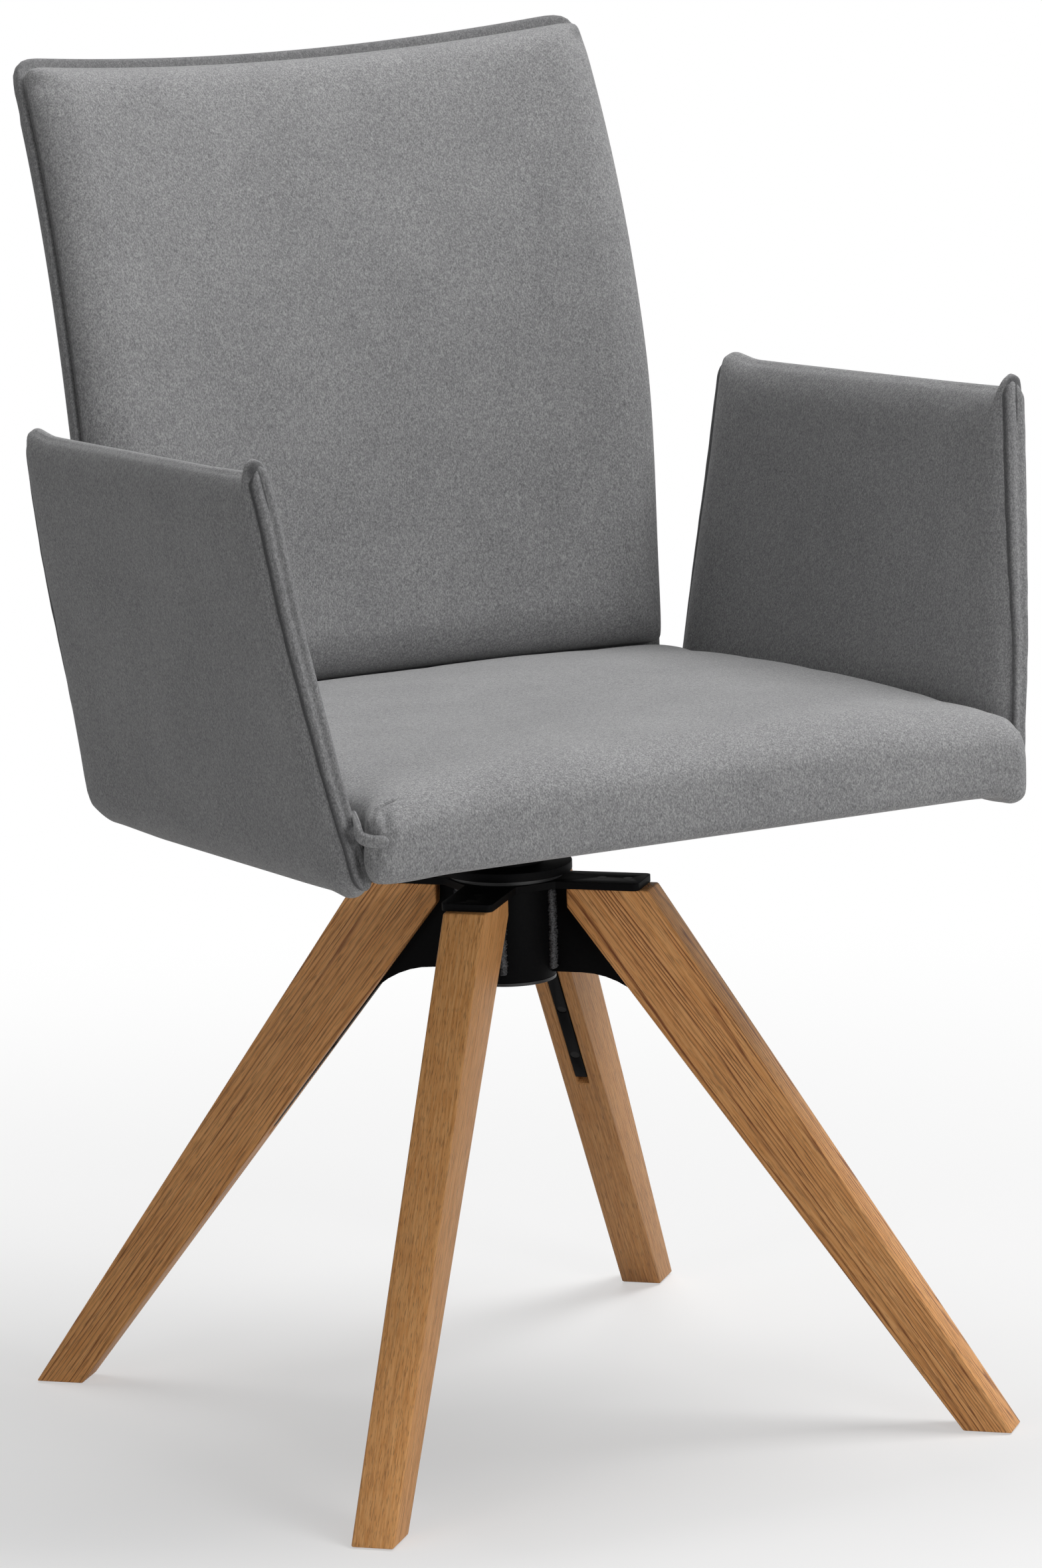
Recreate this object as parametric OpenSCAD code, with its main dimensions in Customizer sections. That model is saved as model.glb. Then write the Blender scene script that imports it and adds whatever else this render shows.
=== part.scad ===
// Swivel armchair: a padded seat, back and two arms on a steel swivel with four splayed oak legs.
// Millimetres. The floor is z = 0, the front of the chair faces -Y, and +X is the sitter's left.

/* [Seat place] */
// Height of the seat's underside above the legs' top faces, at the swivel axis
seat_lift = 62; // [46:0.5:90]
// Backward tilt of the whole upholstered part, in degrees
seat_pitch = 3; // [0:0.5:5]
// Swivel axis behind the middle of the chair's outline
axis_y = -8; // [-40:1:20]

/* [Legs] */
// Reach of a leg's outer edge from the swivel axis, on the floor
foot_reach = 342; // [300:1:380]
// Length of a leg's foot, measured along its reach
foot_len = 33; // [26:1:45]
// Thickness of a leg across its reach
leg_t = 28.5; // [22:0.5:40]
// Height of the legs' top faces
leg_top = 360.5; // [320:0.5:380]
// Reach of a leg's outer edge at its top
top_reach = 101; // [88:1:120]
// Length of a leg's top face
top_len = 56; // [46:1:62]
// Height of the upright cut at a leg's inner end
leg_nose = 13; // [6:1:20]

/* [Glides] */
// Diameter of a glide under a foot
glide_d = 16; // [10:1:22]
// Height of a glide's head under the foot
glide_h = 1; // [0.6:0.2:3]
// Diameter of a glide's nail
glide_nail_d = 3; // [2:0.5:5]
// Length of a glide's nail
glide_nail_len = 14; // [8:1:24]

/* [Column] */
// Outer diameter of the column tube
tube_d = 63; // [56:1:74]
// Wall of the column tube
tube_wall = 5; // [3:0.5:7]
// Length of the column tube below the cross plate
tube_len = 63; // [55:1:90]
// Thickness of the cross plate
plate_t = 5; // [3:0.5:8]
// Width of the cross plate's four arms
plate_arm_w = 35; // [28:1:44]
// Reach of the cross plate's arms
plate_reach = 95.5; // [82:0.5:110]
// Length of the slanted edge between two arms of the cross plate
plate_web = 30; // [16:1:34]
// Corner radius of the cross plate's arms
plate_corner = 4; // [1:0.5:8]
// Rim height of the cap under the tube
cap_rim = 2; // [1:0.5:4]
// Depth of the cap's plug inside the tube
cap_plug = 8; // [4:1:12]

/* [Leg brackets] */
// Thickness of a leg bracket
bracket_t = 8; // [5:0.5:12]
// Height of a leg bracket where it is welded to the tube
bracket_h = 59.5; // [45:0.5:62]
// Length of a bracket's level lower edge outside the tube
bracket_level = 20; // [8:1:26]
// Radius of the curve from the level edge to the leg
bracket_curve = 60; // [30:1:90]
// Depth of a bracket in its leg, square to the leg's inner face
bracket_depth = 14; // [10:0.5:18]
// Length of the bracket's tongue along the leg's inner face
tongue_len = 203; // [170:1:240]
// Length of the leg's slot past the end of the tongue
slot_spare = 8; // [2:1:16]
// Clearance on each side of a bracket in its slot
slot_gap = 0.2; // [0.1:0.05:0.5]
// Radius of a weld bead
bead_r = 3; // [1.5:0.25:4.5]

/* [Screws] */
// Shank diameter of the wood screws
screw_d = 4; // [3:0.5:5]
// Head diameter of the wood screws
screw_head_d = 6.6; // [5.5:0.1:7.4]
// Head height of the wood screws
screw_head_h = 2; // [1.5:0.1:3]
// Length of the screws down through the cross plate
plate_screw_len = 19; // [14:1:20]
// Reach of the inner screw in each plate arm
plate_screw_in = 66; // [62:1:72]
// Spacing of the two screws in a plate arm
plate_screw_gap = 18; // [12:1:22]
// Length of the screws through the tongue
leg_screw_len = 32; // [22:1:38]
// First tongue screw, from the tongue's end
leg_screw_end = 24; // [12:1:34]
// Spacing of the two tongue screws
leg_screw_gap = 49; // [30:1:60]
// Radial clearance of a screw in steel
screw_gap = 0.2; // [0.1:0.05:0.3]
// Extra diameter of a pilot hole in the wood
pilot_spare = 0.1; // [0.05:0.05:0.2]

/* [Swivel] */
// Diameter of the swivel spindle
spindle_d = 25; // [20:0.5:32]
// Radial running clearance of the spindle in its bushes
run_fit = 0.05; // [0.02:0.01:0.08]
// Gap between the faces that slide on each other
slide_gap = 0.3; // [0.1:0.1:0.5]
// Radial clearance of the bushes in the tube
seat_fit = 0.02; // [0.01:0.01:0.05]
// Height of a bush inside the tube
bush_h = 16; // [10:1:22]
// Flange diameter of the upper bush
bush_flange_d = 76; // [66:1:84]
// Flange thickness of the upper bush
bush_flange_t = 3; // [2:0.5:4]
// Diameter of the turning flange
hub_d = 88; // [70:1:100]
// Thickness of the turning flange
hub_t = 6; // [4:0.5:8]
// Diameter of the neck between flange and seat plate
neck_d = 48; // [38:1:60]
// Thickness of the washer under the lower bush
washer_t = 2; // [1:0.5:3]
// Diameter of the washer under the lower bush
washer_d = 40; // [32:1:46]
// Thickness of the retaining ring
ring_t = 1.5; // [1:0.25:2.5]
// Depth of the retaining ring's groove
ring_groove = 1; // [0.6:0.1:1.4]
// Outer diameter of the retaining ring
ring_d = 33; // [30:0.5:38]
// Length of the spindle below the retaining ring
spindle_tip = 3; // [2:0.5:5]

/* [Seat plate] */
// Side of the square seat plate
seat_plate_w = 200; // [180:1:240]
// Thickness of the seat plate
seat_plate_t = 4; // [3:0.5:6]
// Corner radius of the seat plate
seat_plate_r = 12; // [4:1:20]
// Spacing of the four plate bolts, each way
bolt_pitch = 160; // [130:1:164]
// Diameter of all bolts
bolt_d = 8; // [6:0.5:9]
// Head diameter of all bolts
bolt_head_d = 13; // [11:0.5:15]
// Head height of all bolts
bolt_head_h = 5; // [3:0.5:6]
// Length of a plate bolt under its head
plate_bolt_len = 19; // [15:0.5:21]
// Flange diameter of a tee nut
tee_flange_d = 22; // [18:1:26]
// Flange thickness of a tee nut
tee_flange_t = 1.5; // [1:0.25:2]
// Barrel wall of a tee nut
tee_wall = 1.2; // [0.8:0.1:2]
// Radial clearance of bolts in their holes
bolt_gap = 0.25; // [0.1:0.05:0.4]

/* [Seat] */
// Front face of the seat, from the swivel axis
seat_front = 284; // [260:1:310]
// Height of the seat's edge
seat_h = 56; // [48:1:66]
// Rise of the seat's crown above its edge
seat_crown = 14; // [4:1:20]
// Width of the border over which the crown rises
seat_dome = 150; // [100:5:180]
// Rounding of the seat's upper edge
seat_round = 14; // [8:1:20]
// Draw-in of the seat's lower edge
seat_draw = 10; // [4:1:11]
// Drop of the seat's top at its front edge
seat_fall = 8; // [0:1:14]
// Length over which the top drops to the front edge
seat_fall_len = 44; // [30:1:70]
// Width of the back past the seat's rear end, on each side
back_past = 2; // [0:0.5:8]
// Width of the seat where the arms end in front
seat_w_front = 470; // [450:1:500]
// Extra width on each side where the seat passes the arms' front ends
seat_flare = 1.5; // [0:0.5:4]
// Corner radius of the seat in plan
seat_corner = 14; // [10:1:24]
// Fabric thickness with its lining
fabric = 1.6; // [1:0.2:2.4]
// Clearance between soft parts
soft_gap = 0.4; // [0.3:0.1:0.8]
// Clearance between a cover and its foam
foam_gap = 0.3; // [0.2:0.1:0.6]
// Thickness of the seat board
board_t = 15; // [12:1:18]
// Width of the rails under the foam
rail_w = 22; // [18:1:28]
// Height of the rails above the seat board
rail_h = 28; // [24:1:32]
// Border of the seat board inside the seat's outline
board_inset = 14; // [13:0.5:18]
// Border of fabric around the dust cover
hem = 40; // [30:1:50]
// Thickness of the dust cover
dust_t = 1; // [0.6:0.1:1.4]

/* [Arms] */
// Length of an arm along its foot
arm_len_foot = 420; // [390:1:430]
// Length of an arm along its top
arm_len_top = 346; // [320:1:380]
// Set-back of an arm's rear top corner from its rear foot
arm_rear_rake = 26; // [0:1:40]
// Rear end of an arm's foot behind the swivel axis
arm_rear = 157; // [140:1:165]
// Height of an arm's top above the seat's underside
arm_top = 259.5; // [220:0.5:290]
// Drop of an arm's foot below the seat's underside
arm_drop = 6; // [0:0.5:10]
// Outward lean of an arm at its front end, in degrees
arm_lean_front = 7.7; // [3:0.1:11]
// Outward lean of an arm at its rear end, in degrees
arm_lean_rear = 9.1; // [3:0.1:12]
// Thickness of an arm in its padded middle
arm_t = 26; // [24:1:34]
// Border over which an arm's padding rises from its edge
arm_puff = 34; // [20:1:50]
// Radius of an arm's rear lower corner
arm_corner_heel = 34; // [14:1:50]
// Radius of an arm's other corners
arm_corner = 11; // [6:1:18]
// Width of an arm's end strip
strip_w = 12; // [11:0.5:16]
// Thickness of an arm's end strip
strip_t = 3; // [2:0.5:5]
// Thickness of an arm's board
arm_board_t = 12; // [11:0.5:13]
// Border of the arm board inside the arm's outline
arm_board_inset = 24; // [20:1:34]

/* [Arm and back bolts] */
// Height of the arm and back bolts above the seat's underside
bolt_z = 31; // [29:0.5:33]
// Rear arm bolt behind the swivel axis
arm_bolt_rear = 90; // [60:1:110]
// Spacing of the two arm bolts
arm_bolt_gap = 250; // [180:1:270]
// Spacing of the two back bolts
back_bolt_gap = 240; // [160:1:300]
// Diameter of an insert nut
insert_d = 12; // [11:0.5:13]
// Length of an insert nut
insert_len = 16; // [12:1:18]
// Depth of the recess for a bolt head in a board
head_sink = 6.4; // [6.2:0.1:7]

/* [Back] */
// Place of the back's side edge at its foot, behind the swivel axis
back_y = 161; // [158:1:175]
// Height of the back's top above the seat's underside
back_top = 490; // [420:1:540]
// Set-back of the back's top edge from its foot
back_reach = 81.5; // [40:0.5:110]
// Lean of the back at its top, in degrees
back_lean = 26; // [10:0.5:32]
// Length of the straight run into the back's lower curve
back_hold_low = 130; // [80:1:200]
// Length of the straight run out of the back's upper curve
back_hold_top = 196; // [120:1:240]
// Width of the back at its foot and top
back_w = 436; // [400:1:442]
// Extra half width at the middle of the back
back_bow = 4; // [0:0.5:8]
// Depth of the back's hollow from side to side
back_bend = 22; // [8:1:30]
// Sag of the top edge between its corners
back_sag = 3; // [0:0.5:8]
// Corner radius of the back
back_corner = 14; // [12:1:28]
// Height of the back's lower edge above the seat's underside
back_low = 4; // [0:0.5:12]
// Rounding of the back's rear edge
back_round = 12; // [6:1:18]
// Rounding of the band's front edge
band_round = 4; // [2:0.5:6]
// Thickness of the rear shell and its band
shell_t = 17; // [16:0.5:22]
// Thickness of the moulded back board
back_board_t = 12; // [9:0.5:12]
// Width of the band that shows around the front pad
band_w = 7; // [4:0.5:12]
// Thickness of the front pad
pad_t = 22; // [14:0.5:28]
// Overhang of the front pad past its seam
pad_bulge = 4; // [0:0.5:6]
// Rounding of the front pad's edge
pad_round = 30; // [16:1:50]
// Clearance between the rear shell and the soft parts in its hollow
hollow_gap = 1.5; // [1:0.1:2]

/* [Strap] */
// Width of the fabric strap at the seat's corner
strap_w = 9; // [6:0.5:14]
// Thickness of the fabric strap
strap_t = 2.4; // [1.6:0.2:3]
// Height of the strap's upper end above the seat's underside
strap_high = 42; // [36:1:48]
// Height of the strap's lower end above the seat's underside
strap_low = 28; // [16:1:34]
// Length of the strap back along the seat's side, towards the arm
strap_tail = 16; // [10:1:20]
// Turn of the strap round the seat's corner, degrees
strap_bend = 45; // [30:5:90]

/* [Hidden] */
$fn = 64;

// Turn of each corner about the swivel axis
front_left = -45;
front_right = -135;
rear_left = 45;
rear_right = 135;
corners = [front_left, front_right, rear_left, rear_right];
LEFT = 1;
RIGHT = -1;
// Overshoot of a cut past the face that it opens
over = 1;

// Legs, as reach and height in a leg's own upright plane
foot_out = [foot_reach, glide_h];
foot_in = [foot_reach - foot_len, glide_h];
top_out = [top_reach, leg_top];
top_in = [top_reach - top_len, leg_top];
nose = top_in - [0, leg_nose];
face_len = norm(foot_in - nose);
face_dir = (foot_in - nose) / face_len;
face_in = [-face_dir[1], face_dir[0]];
tongue_end = nose + face_dir * tongue_len;
function on_face(run, depth = 0) = nose + face_dir * run + face_in * depth;
function at_height(run, depth, z) = let (p = on_face(run, depth))
    p + face_dir * (z - p[1]) / face_dir[1];

// Column
tube_r = tube_d / 2;
tube_in = tube_r - tube_wall;
tube_bottom = leg_top - tube_len;
plate_top = leg_top + plate_t;
bracket_low = leg_top - bracket_h;
arm_half = plate_arm_w / 2;
web_out = arm_half + plate_web / sqrt(2);

// Swivel
bush_in = spindle_d / 2 + run_fit;
bush_out = tube_in - seat_fit;
flange_top = plate_top + bush_flange_t;
hub_low = flange_top + slide_gap;
hub_top = hub_low + hub_t;
ring_low = tube_bottom + cap_plug + spindle_tip + over;
washer_low = ring_low + ring_t + slide_gap / 2;
bush_low = washer_low + washer_t + slide_gap;
spindle_low = ring_low - spindle_tip;
groove_r = spindle_d / 2 - ring_groove;

// Seat
seat_z = leg_top + seat_lift;
seat_w_rear = back_w - 2 * back_past;
seat_rear = back_y - band_w - hollow_gap;
seat_len = seat_front + seat_rear;
board_low = fabric + foam_gap;
board_top = board_low + board_t;
bolt_hole_r = bolt_d / 2 + bolt_gap;
tee_r = bolt_hole_r + tee_wall;
insert_r = insert_d / 2;

// Arms
arm_high = arm_top + arm_drop;
arm_slip = soft_gap + arm_t / 2;
arm_bolt_at = [arm_bolt_rear, arm_bolt_rear - arm_bolt_gap];
// Slant of the seat's sides in plan, for each side
seat_toe = (seat_w_front - seat_w_rear) / 2;
// Rear end and length of an arm at the height z, and the share of that length at the place y
function arm_rear_at(z) = arm_rear - arm_rear_rake * (z + arm_drop) / arm_high;
function arm_len_at(z) = arm_len_foot + (arm_len_top - arm_len_foot) * (z + arm_drop) / arm_high;
function arm_share(y, z) = (arm_rear_at(z) - y) / arm_len_at(z);
// Middle of an arm's thickness, at the share u of its length from the rear and at the height z
function arm_mid(u, z) = seat_w_rear / 2 + arm_slip + u * seat_toe
    + (z - bolt_z) * tan(arm_lean_rear + (arm_lean_front - arm_lean_rear) * u);
// Side face of the seat at the place y and the height z
function seat_side(y, z) = let (u = arm_share(y, z), past = (u - 1) * arm_len_at(z) / strip_w)
    arm_mid(u, z) - arm_slip + seat_flare * max(0, min(1, past));
// Rise of the seat's top at the distance in from its edge
function seat_rise(in) = let (far = max(0, min(1, (in - seat_round) / (seat_dome - seat_round))))
    seat_crown * (1 - pow(1 - far, 2));

// Wooden frame in the seat: its side face at the place y, and its outline moved in by the border in
frame_front = board_inset - seat_front;
frame_rear = seat_rear - board_inset;
frame_half_front = arm_mid(arm_share(frame_front, board_low), board_low) - arm_slip - board_inset;
frame_half_rear = arm_mid(arm_share(frame_rear, board_low), board_low) - arm_slip - board_inset;
frame_slant = (frame_half_front - frame_half_rear) / (frame_rear - frame_front);
side_turn = atan(frame_slant);
function frame_side(y) = frame_half_rear + (frame_rear - y) * frame_slant;
function frame_outline(in) = let (more = in - board_inset, a = frame_front + more, b = frame_rear - more,
    c = frame_side(a) - more / cos(side_turn), d = frame_side(b) - more / cos(side_turn))
    [[-c, a], [c, a], [d, b], [-d, b]];

// Back: point and forward direction of its side edge at the share t of its height
back_points = [[back_y, 0], [back_y, back_hold_low],
    [back_y + back_reach - back_hold_top * sin(back_lean), back_top - back_hold_top * cos(back_lean)],
    [back_y + back_reach, back_top]];
function back_edge(t) = let (s = 1 - t) back_points[0] * s * s * s + back_points[1] * 3 * s * s * t
    + back_points[2] * 3 * s * t * t + back_points[3] * t * t * t;
function back_slope(t) = let (s = 1 - t, d = (back_points[1] - back_points[0]) * s * s
    + (back_points[2] - back_points[1]) * 2 * s * t + (back_points[3] - back_points[2]) * t * t)
    d / norm(d);
// Share of the back's height at the height z, found by repeated correction
function back_share(z, t = 0.5, n = 9) = n == 0 ? t
    : back_share(z, t + (z - back_edge(t)[1]) / back_top, n - 1);
// Share of the back's hollow at the side place x
function hollow(x) = 1 - pow(2 * x / back_w, 2);
// Point of the back at the side place x, the share t of the height and the depth d ahead of its edge
function back_point(x, t, d) = let (e = back_edge(t), s = back_slope(t), ahead = d - back_bend * hollow(x),
    high = -back_sag * hollow(x) * t * t)
    [x * (1 + 2 * back_bow / back_w * sin(180 * t)), e[0] - s[1] * ahead + s[0] * high,
    e[1] + s[0] * ahead + s[1] * high];
// Middle of the rear shell's thickness, and rear face of the back board at a bolt
shell_mid = band_w - shell_t / 2;
back_board_rear = back_point(back_bolt_gap / 2, back_share(bolt_z), shell_mid - back_board_t / 2)[1];
// Outer face of the arm board at the place y
function arm_board_face(y) = arm_mid(arm_share(y, bolt_z), bolt_z) + arm_board_t / 2;

// Closed soft forms: nested loops with the same count of points, joined into one surface
turn_steps = 3;
function run_of(a, b, n) = [for (i = [0:n - 1]) a + (b - a) * i / n];
function turn_of(c, r, start) = [for (i = [0:turn_steps - 1])
    c + r * [cos(start + 90 * i / turn_steps), sin(start + 90 * i / turn_steps)]];
// Rounded rectangle from low to high corner with the radii r, moved in by the border in, with steps
// points along each of its first two and its other two sides
function loop_of(low, high, r, in, steps) = let (a = low[0] + in, b = low[1] + in, c = high[0] - in,
    d = high[1] - in, k = [for (v = r) max(v - in, 2)])
    concat(run_of([c, b + k[0]], [c, d - k[1]], steps[1]), turn_of([c - k[1], d - k[1]], k[1], 0),
        run_of([c - k[1], d], [a + k[2], d], steps[0]), turn_of([a + k[2], d - k[2]], k[2], 90),
        run_of([a, d - k[2]], [a, b + k[3]], steps[1]), turn_of([a + k[3], b + k[3]], k[3], 180),
        run_of([a + k[3], b], [c - k[0], b], steps[0]), turn_of([c - k[0], b + k[0]], k[0], 270));
function middle_of(ring) = [for (i = [0:2]) let (v = [for (p = ring) p[i]]) (max(v) + min(v)) / 2];

module skin(rings) {
    n = len(rings[0]);
    last = len(rings) - 1;
    points = concat([for (ring = rings) each ring], [middle_of(rings[0]), middle_of(rings[last])]);
    low = n * (last + 1);
    faces = [for (i = [0:n - 1]) let (j = (i + 1) % n) each concat(
        [[low, i, j], [low + 1, last * n + j, last * n + i]],
        [for (k = [0:last - 1]) each [[k * n + i, (k + 1) * n + i, (k + 1) * n + j],
            [k * n + i, (k + 1) * n + j, k * n + j]]])];
    polyhedron(points = points, faces = faces);
}

// Places of the two frames: the swivel base, and the upholstered part with its tilt
module base_frame() translate([0, axis_y, 0]) children();
module seat_frame() translate([0, axis_y, seat_z]) rotate([-seat_pitch, 0, 0]) children();
// Upright slab in a leg's plane, centred on its thickness
module upright(t) rotate([90, 0, 0]) translate([0, 0, -t / 2]) linear_extrude(t) children();

// One leg with its slot for the bracket and its pilot holes
module leg(corner) color("peru") base_frame() rotate([0, 0, corner]) difference() {
    upright(leg_t) polygon([foot_in, foot_out, top_out, top_in, nose]);
    upright(bracket_t + 2 * slot_gap) polygon([at_height(0, -over, leg_top + over),
        on_face(tongue_len + slot_spare, -over),
        on_face(tongue_len + slot_spare, bracket_depth + slot_gap),
        at_height(0, bracket_depth + slot_gap, leg_top + over), [tube_r, leg_top + over],
        [tube_r, nose[1]]]);
    leg_screw_places() cylinder(d = screw_d + pilot_spare, h = leg_screw_len + slot_gap);
    plate_screw_places() translate([0, 0, -plate_screw_len - slot_gap])
        cylinder(d = screw_d + pilot_spare, h = plate_screw_len + over);
    glide_place() cylinder(d = glide_nail_d + pilot_spare, h = glide_nail_len + slot_gap);
}

// Middle of the foot, at the leg's underside
module glide_place() translate([foot_reach - foot_len / 2, 0, glide_h]) children();
// Start of each screw at the tongue's face, looking into the leg
module leg_screw_places() for (i = [0, 1]) {
    p = on_face(tongue_len - leg_screw_end - i * leg_screw_gap);
    translate([p[0], 0, p[1]]) rotate([0, 90 - atan2(face_in[1], face_in[0]), 0]) children();
}
// Top of each screw in the arm of the cross plate
module plate_screw_places() for (i = [0, 1])
    translate([plate_screw_in + i * plate_screw_gap, 0, plate_top]) children();

// Four glides, each a head with a nail
module glides() color("dimgray") base_frame() for (corner = corners) rotate([0, 0, corner]) {
    glide_place() {
        translate([0, 0, -glide_h]) cylinder(d = glide_d, h = glide_h);
        cylinder(d = glide_nail_d, h = glide_nail_len);
    }
}

// One bracket: welded to the tube, then a tongue in the leg's slot
module bracket(corner) color("black") base_frame() rotate([0, 0, corner]) difference() {
    curve_at = [tube_r + bracket_level, bracket_low - bracket_curve];
    upright(bracket_t) polygon(concat([[0, leg_top], [0, bracket_low]],
        [for (a = [90:-8:50]) curve_at + bracket_curve * [cos(a), sin(a)]],
        [tongue_end, tongue_end + face_in * bracket_depth, at_height(0, bracket_depth, leg_top)]));
    translate([0, 0, bracket_low - over]) cylinder(r = tube_r + seat_fit, h = bracket_h + 2 * over);
    leg_screw_places() {
        translate([0, 0, -over]) cylinder(d = screw_d + 2 * screw_gap, h = bracket_depth + 2 * over);
        translate([0, 0, -over]) cylinder(d = screw_head_d + 2 * screw_gap, h = over + screw_head_h);
    }
}

module column_tube() color("black") base_frame() translate([0, 0, tube_bottom]) difference() {
    cylinder(r = tube_r, h = tube_len);
    translate([0, 0, -over]) cylinder(r = tube_in, h = tube_len + 2 * over);
}

// Flat bar with rounded corners, as an outline
module rounded_bar(w, h, r) {
    square([w, h - 2 * r], center = true);
    square([w - 2 * r, h], center = true);
    for (x = [-1, 1], y = [-1, 1]) translate([x * (w / 2 - r), y * (h / 2 - r)]) circle(r);
}

module cross_plate() color("black") base_frame() difference() {
    translate([0, 0, leg_top]) rotate([0, 0, rear_left]) linear_extrude(plate_t) {
        rounded_bar(2 * plate_reach, plate_arm_w, plate_corner);
        rounded_bar(plate_arm_w, 2 * plate_reach, plate_corner);
        polygon([for (a = [0, 90, 180, 270], s = [-1, 1])
            [web_out * cos(a) - s * arm_half * sin(a), web_out * sin(a) + s * arm_half * cos(a)]]);
    }
    translate([0, 0, leg_top - over]) cylinder(r = tube_in, h = plate_t + 2 * over);
    for (corner = corners) rotate([0, 0, corner]) plate_screw_places() {
        translate([0, 0, -plate_t - over]) cylinder(d = screw_d + 2 * screw_gap, h = plate_t + 2 * over);
        translate([0, 0, -screw_head_h]) cylinder(d = screw_head_d + 2 * screw_gap, h = screw_head_h + over);
    }
}

// Two beads along each bracket, in the corner between bracket and tube
module weld_beads() color("black") base_frame() for (corner = corners, s = [-1, 1])
    rotate([0, 0, corner]) difference() {
        translate([sqrt(pow(tube_r, 2) - pow(bracket_t / 2, 2)), s * bracket_t / 2, bracket_low + bead_r])
            cylinder(r = bead_r, h = bracket_h - 2 * bead_r);
        translate([0, 0, bracket_low]) cylinder(r = tube_r + seat_fit, h = bracket_h);
        translate([0, -bracket_t / 2 - seat_fit, bracket_low])
            cube([2 * tube_r, bracket_t + 2 * seat_fit, bracket_h]);
    }

// Screw with its head's top at the origin, pointing down
module screw(len) {
    translate([0, 0, -screw_head_h]) cylinder(d = screw_head_d, h = screw_head_h);
    translate([0, 0, -len]) cylinder(d = screw_d, h = len - screw_head_h / 2);
}

module plate_screws() color("dimgray") base_frame() for (corner = corners) rotate([0, 0, corner])
    plate_screw_places() screw(plate_screw_len);

module leg_screws() color("dimgray") base_frame() for (corner = corners) rotate([0, 0, corner])
    leg_screw_places() mirror([0, 0, 1]) screw(leg_screw_len);

// Flanged bush in the cross plate and the top of the tube
module upper_bush() color("whitesmoke") base_frame() difference() {
    union() {
        translate([0, 0, plate_top - bush_h]) cylinder(r = bush_out, h = bush_h);
        translate([0, 0, plate_top]) cylinder(d = bush_flange_d, h = bush_flange_t);
    }
    translate([0, 0, plate_top - bush_h - over]) cylinder(r = bush_in, h = bush_h + bush_flange_t + 2 * over);
}

module lower_bush() color("whitesmoke") base_frame() translate([0, 0, bush_low]) difference() {
    cylinder(r = bush_out, h = bush_h);
    translate([0, 0, -over]) cylinder(r = bush_in, h = bush_h + 2 * over);
}

// Cap that closes the tube from below
module column_cap() color("black") base_frame() difference() {
    union() {
        translate([0, 0, tube_bottom - cap_rim]) cylinder(r = tube_r, h = cap_rim);
        translate([0, 0, tube_bottom]) cylinder(r = bush_out, h = cap_plug);
    }
    translate([0, 0, tube_bottom]) cylinder(r = bush_out - tube_wall / 2, h = cap_plug + over);
}

// Spindle with the groove of its retaining ring
module spindle() color("silver") base_frame() difference() {
    translate([0, 0, spindle_low]) cylinder(d = spindle_d, h = hub_low - spindle_low);
    translate([0, 0, ring_low]) difference() {
        cylinder(d = spindle_d + over, h = ring_t);
        translate([0, 0, -over]) cylinder(r = groove_r, h = ring_t + 2 * over);
    }
}

// Turning flange with the neck that carries the seat plate
module swivel_hub() color("black") {
    base_frame() translate([0, 0, hub_low]) cylinder(d = hub_d, h = hub_t);
    difference() {
        base_frame() translate([0, 0, hub_top]) cylinder(d = neck_d, h = seat_z - hub_top);
        seat_frame() translate([0, 0, seat_plate_w / 2 - seat_plate_t])
            cube(seat_plate_w, center = true);
    }
}

module spindle_washer() color("silver") base_frame() translate([0, 0, washer_low]) difference() {
    cylinder(d = washer_d, h = washer_t);
    translate([0, 0, -over]) cylinder(r = bush_in, h = washer_t + 2 * over);
}

// Open ring that snaps into the spindle's groove
module retaining_ring() color("dimgray") base_frame() translate([0, 0, ring_low]) difference() {
    cylinder(d = ring_d, h = ring_t);
    translate([0, 0, -over]) cylinder(r = groove_r + seat_fit, h = ring_t + 2 * over);
    translate([0, -ring_groove * 2, -over]) cube([ring_d, ring_groove * 4, ring_t + 2 * over]);
}

module bolt_places() for (x = [-1, 1], y = [-1, 1])
    translate([x * bolt_pitch / 2, y * bolt_pitch / 2, 0]) children();

module seat_plate() color("black") seat_frame() difference() {
    translate([0, 0, -seat_plate_t]) linear_extrude(seat_plate_t)
        rounded_bar(seat_plate_w, seat_plate_w, seat_plate_r);
    bolt_places() translate([0, 0, -seat_plate_t - over])
        cylinder(r = bolt_hole_r, h = seat_plate_t + 2 * over);
}

// Bolt with the underside of its head at the origin, pointing up
module bolt(len) {
    translate([0, 0, -bolt_head_h]) cylinder(d = bolt_head_d, h = bolt_head_h);
    cylinder(d = bolt_d, h = len);
}

module plate_bolts() color("silver") seat_frame() bolt_places()
    translate([0, 0, -seat_plate_t]) bolt(plate_bolt_len);

// Tee nuts let into the top of the seat board
module tee_nuts() color("silver") seat_frame() bolt_places() difference() {
    union() {
        translate([0, 0, board_low]) cylinder(r = tee_r, h = board_t);
        translate([0, 0, board_top - tee_flange_t]) cylinder(d = tee_flange_d, h = tee_flange_t);
    }
    translate([0, 0, board_low - over]) cylinder(r = bolt_d / 2 + run_fit, h = board_t + 2 * over);
}

module seat_board() color("burlywood") seat_frame() difference() {
    translate([0, 0, board_low]) linear_extrude(board_t) polygon(frame_outline(board_inset));
    bolt_places() {
        translate([0, 0, board_low - over]) cylinder(r = tee_r + seat_fit, h = board_t + 2 * over);
        translate([0, 0, board_top - tee_flange_t]) cylinder(d = tee_flange_d + 2 * seat_fit, h = board_t);
    }
}

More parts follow.
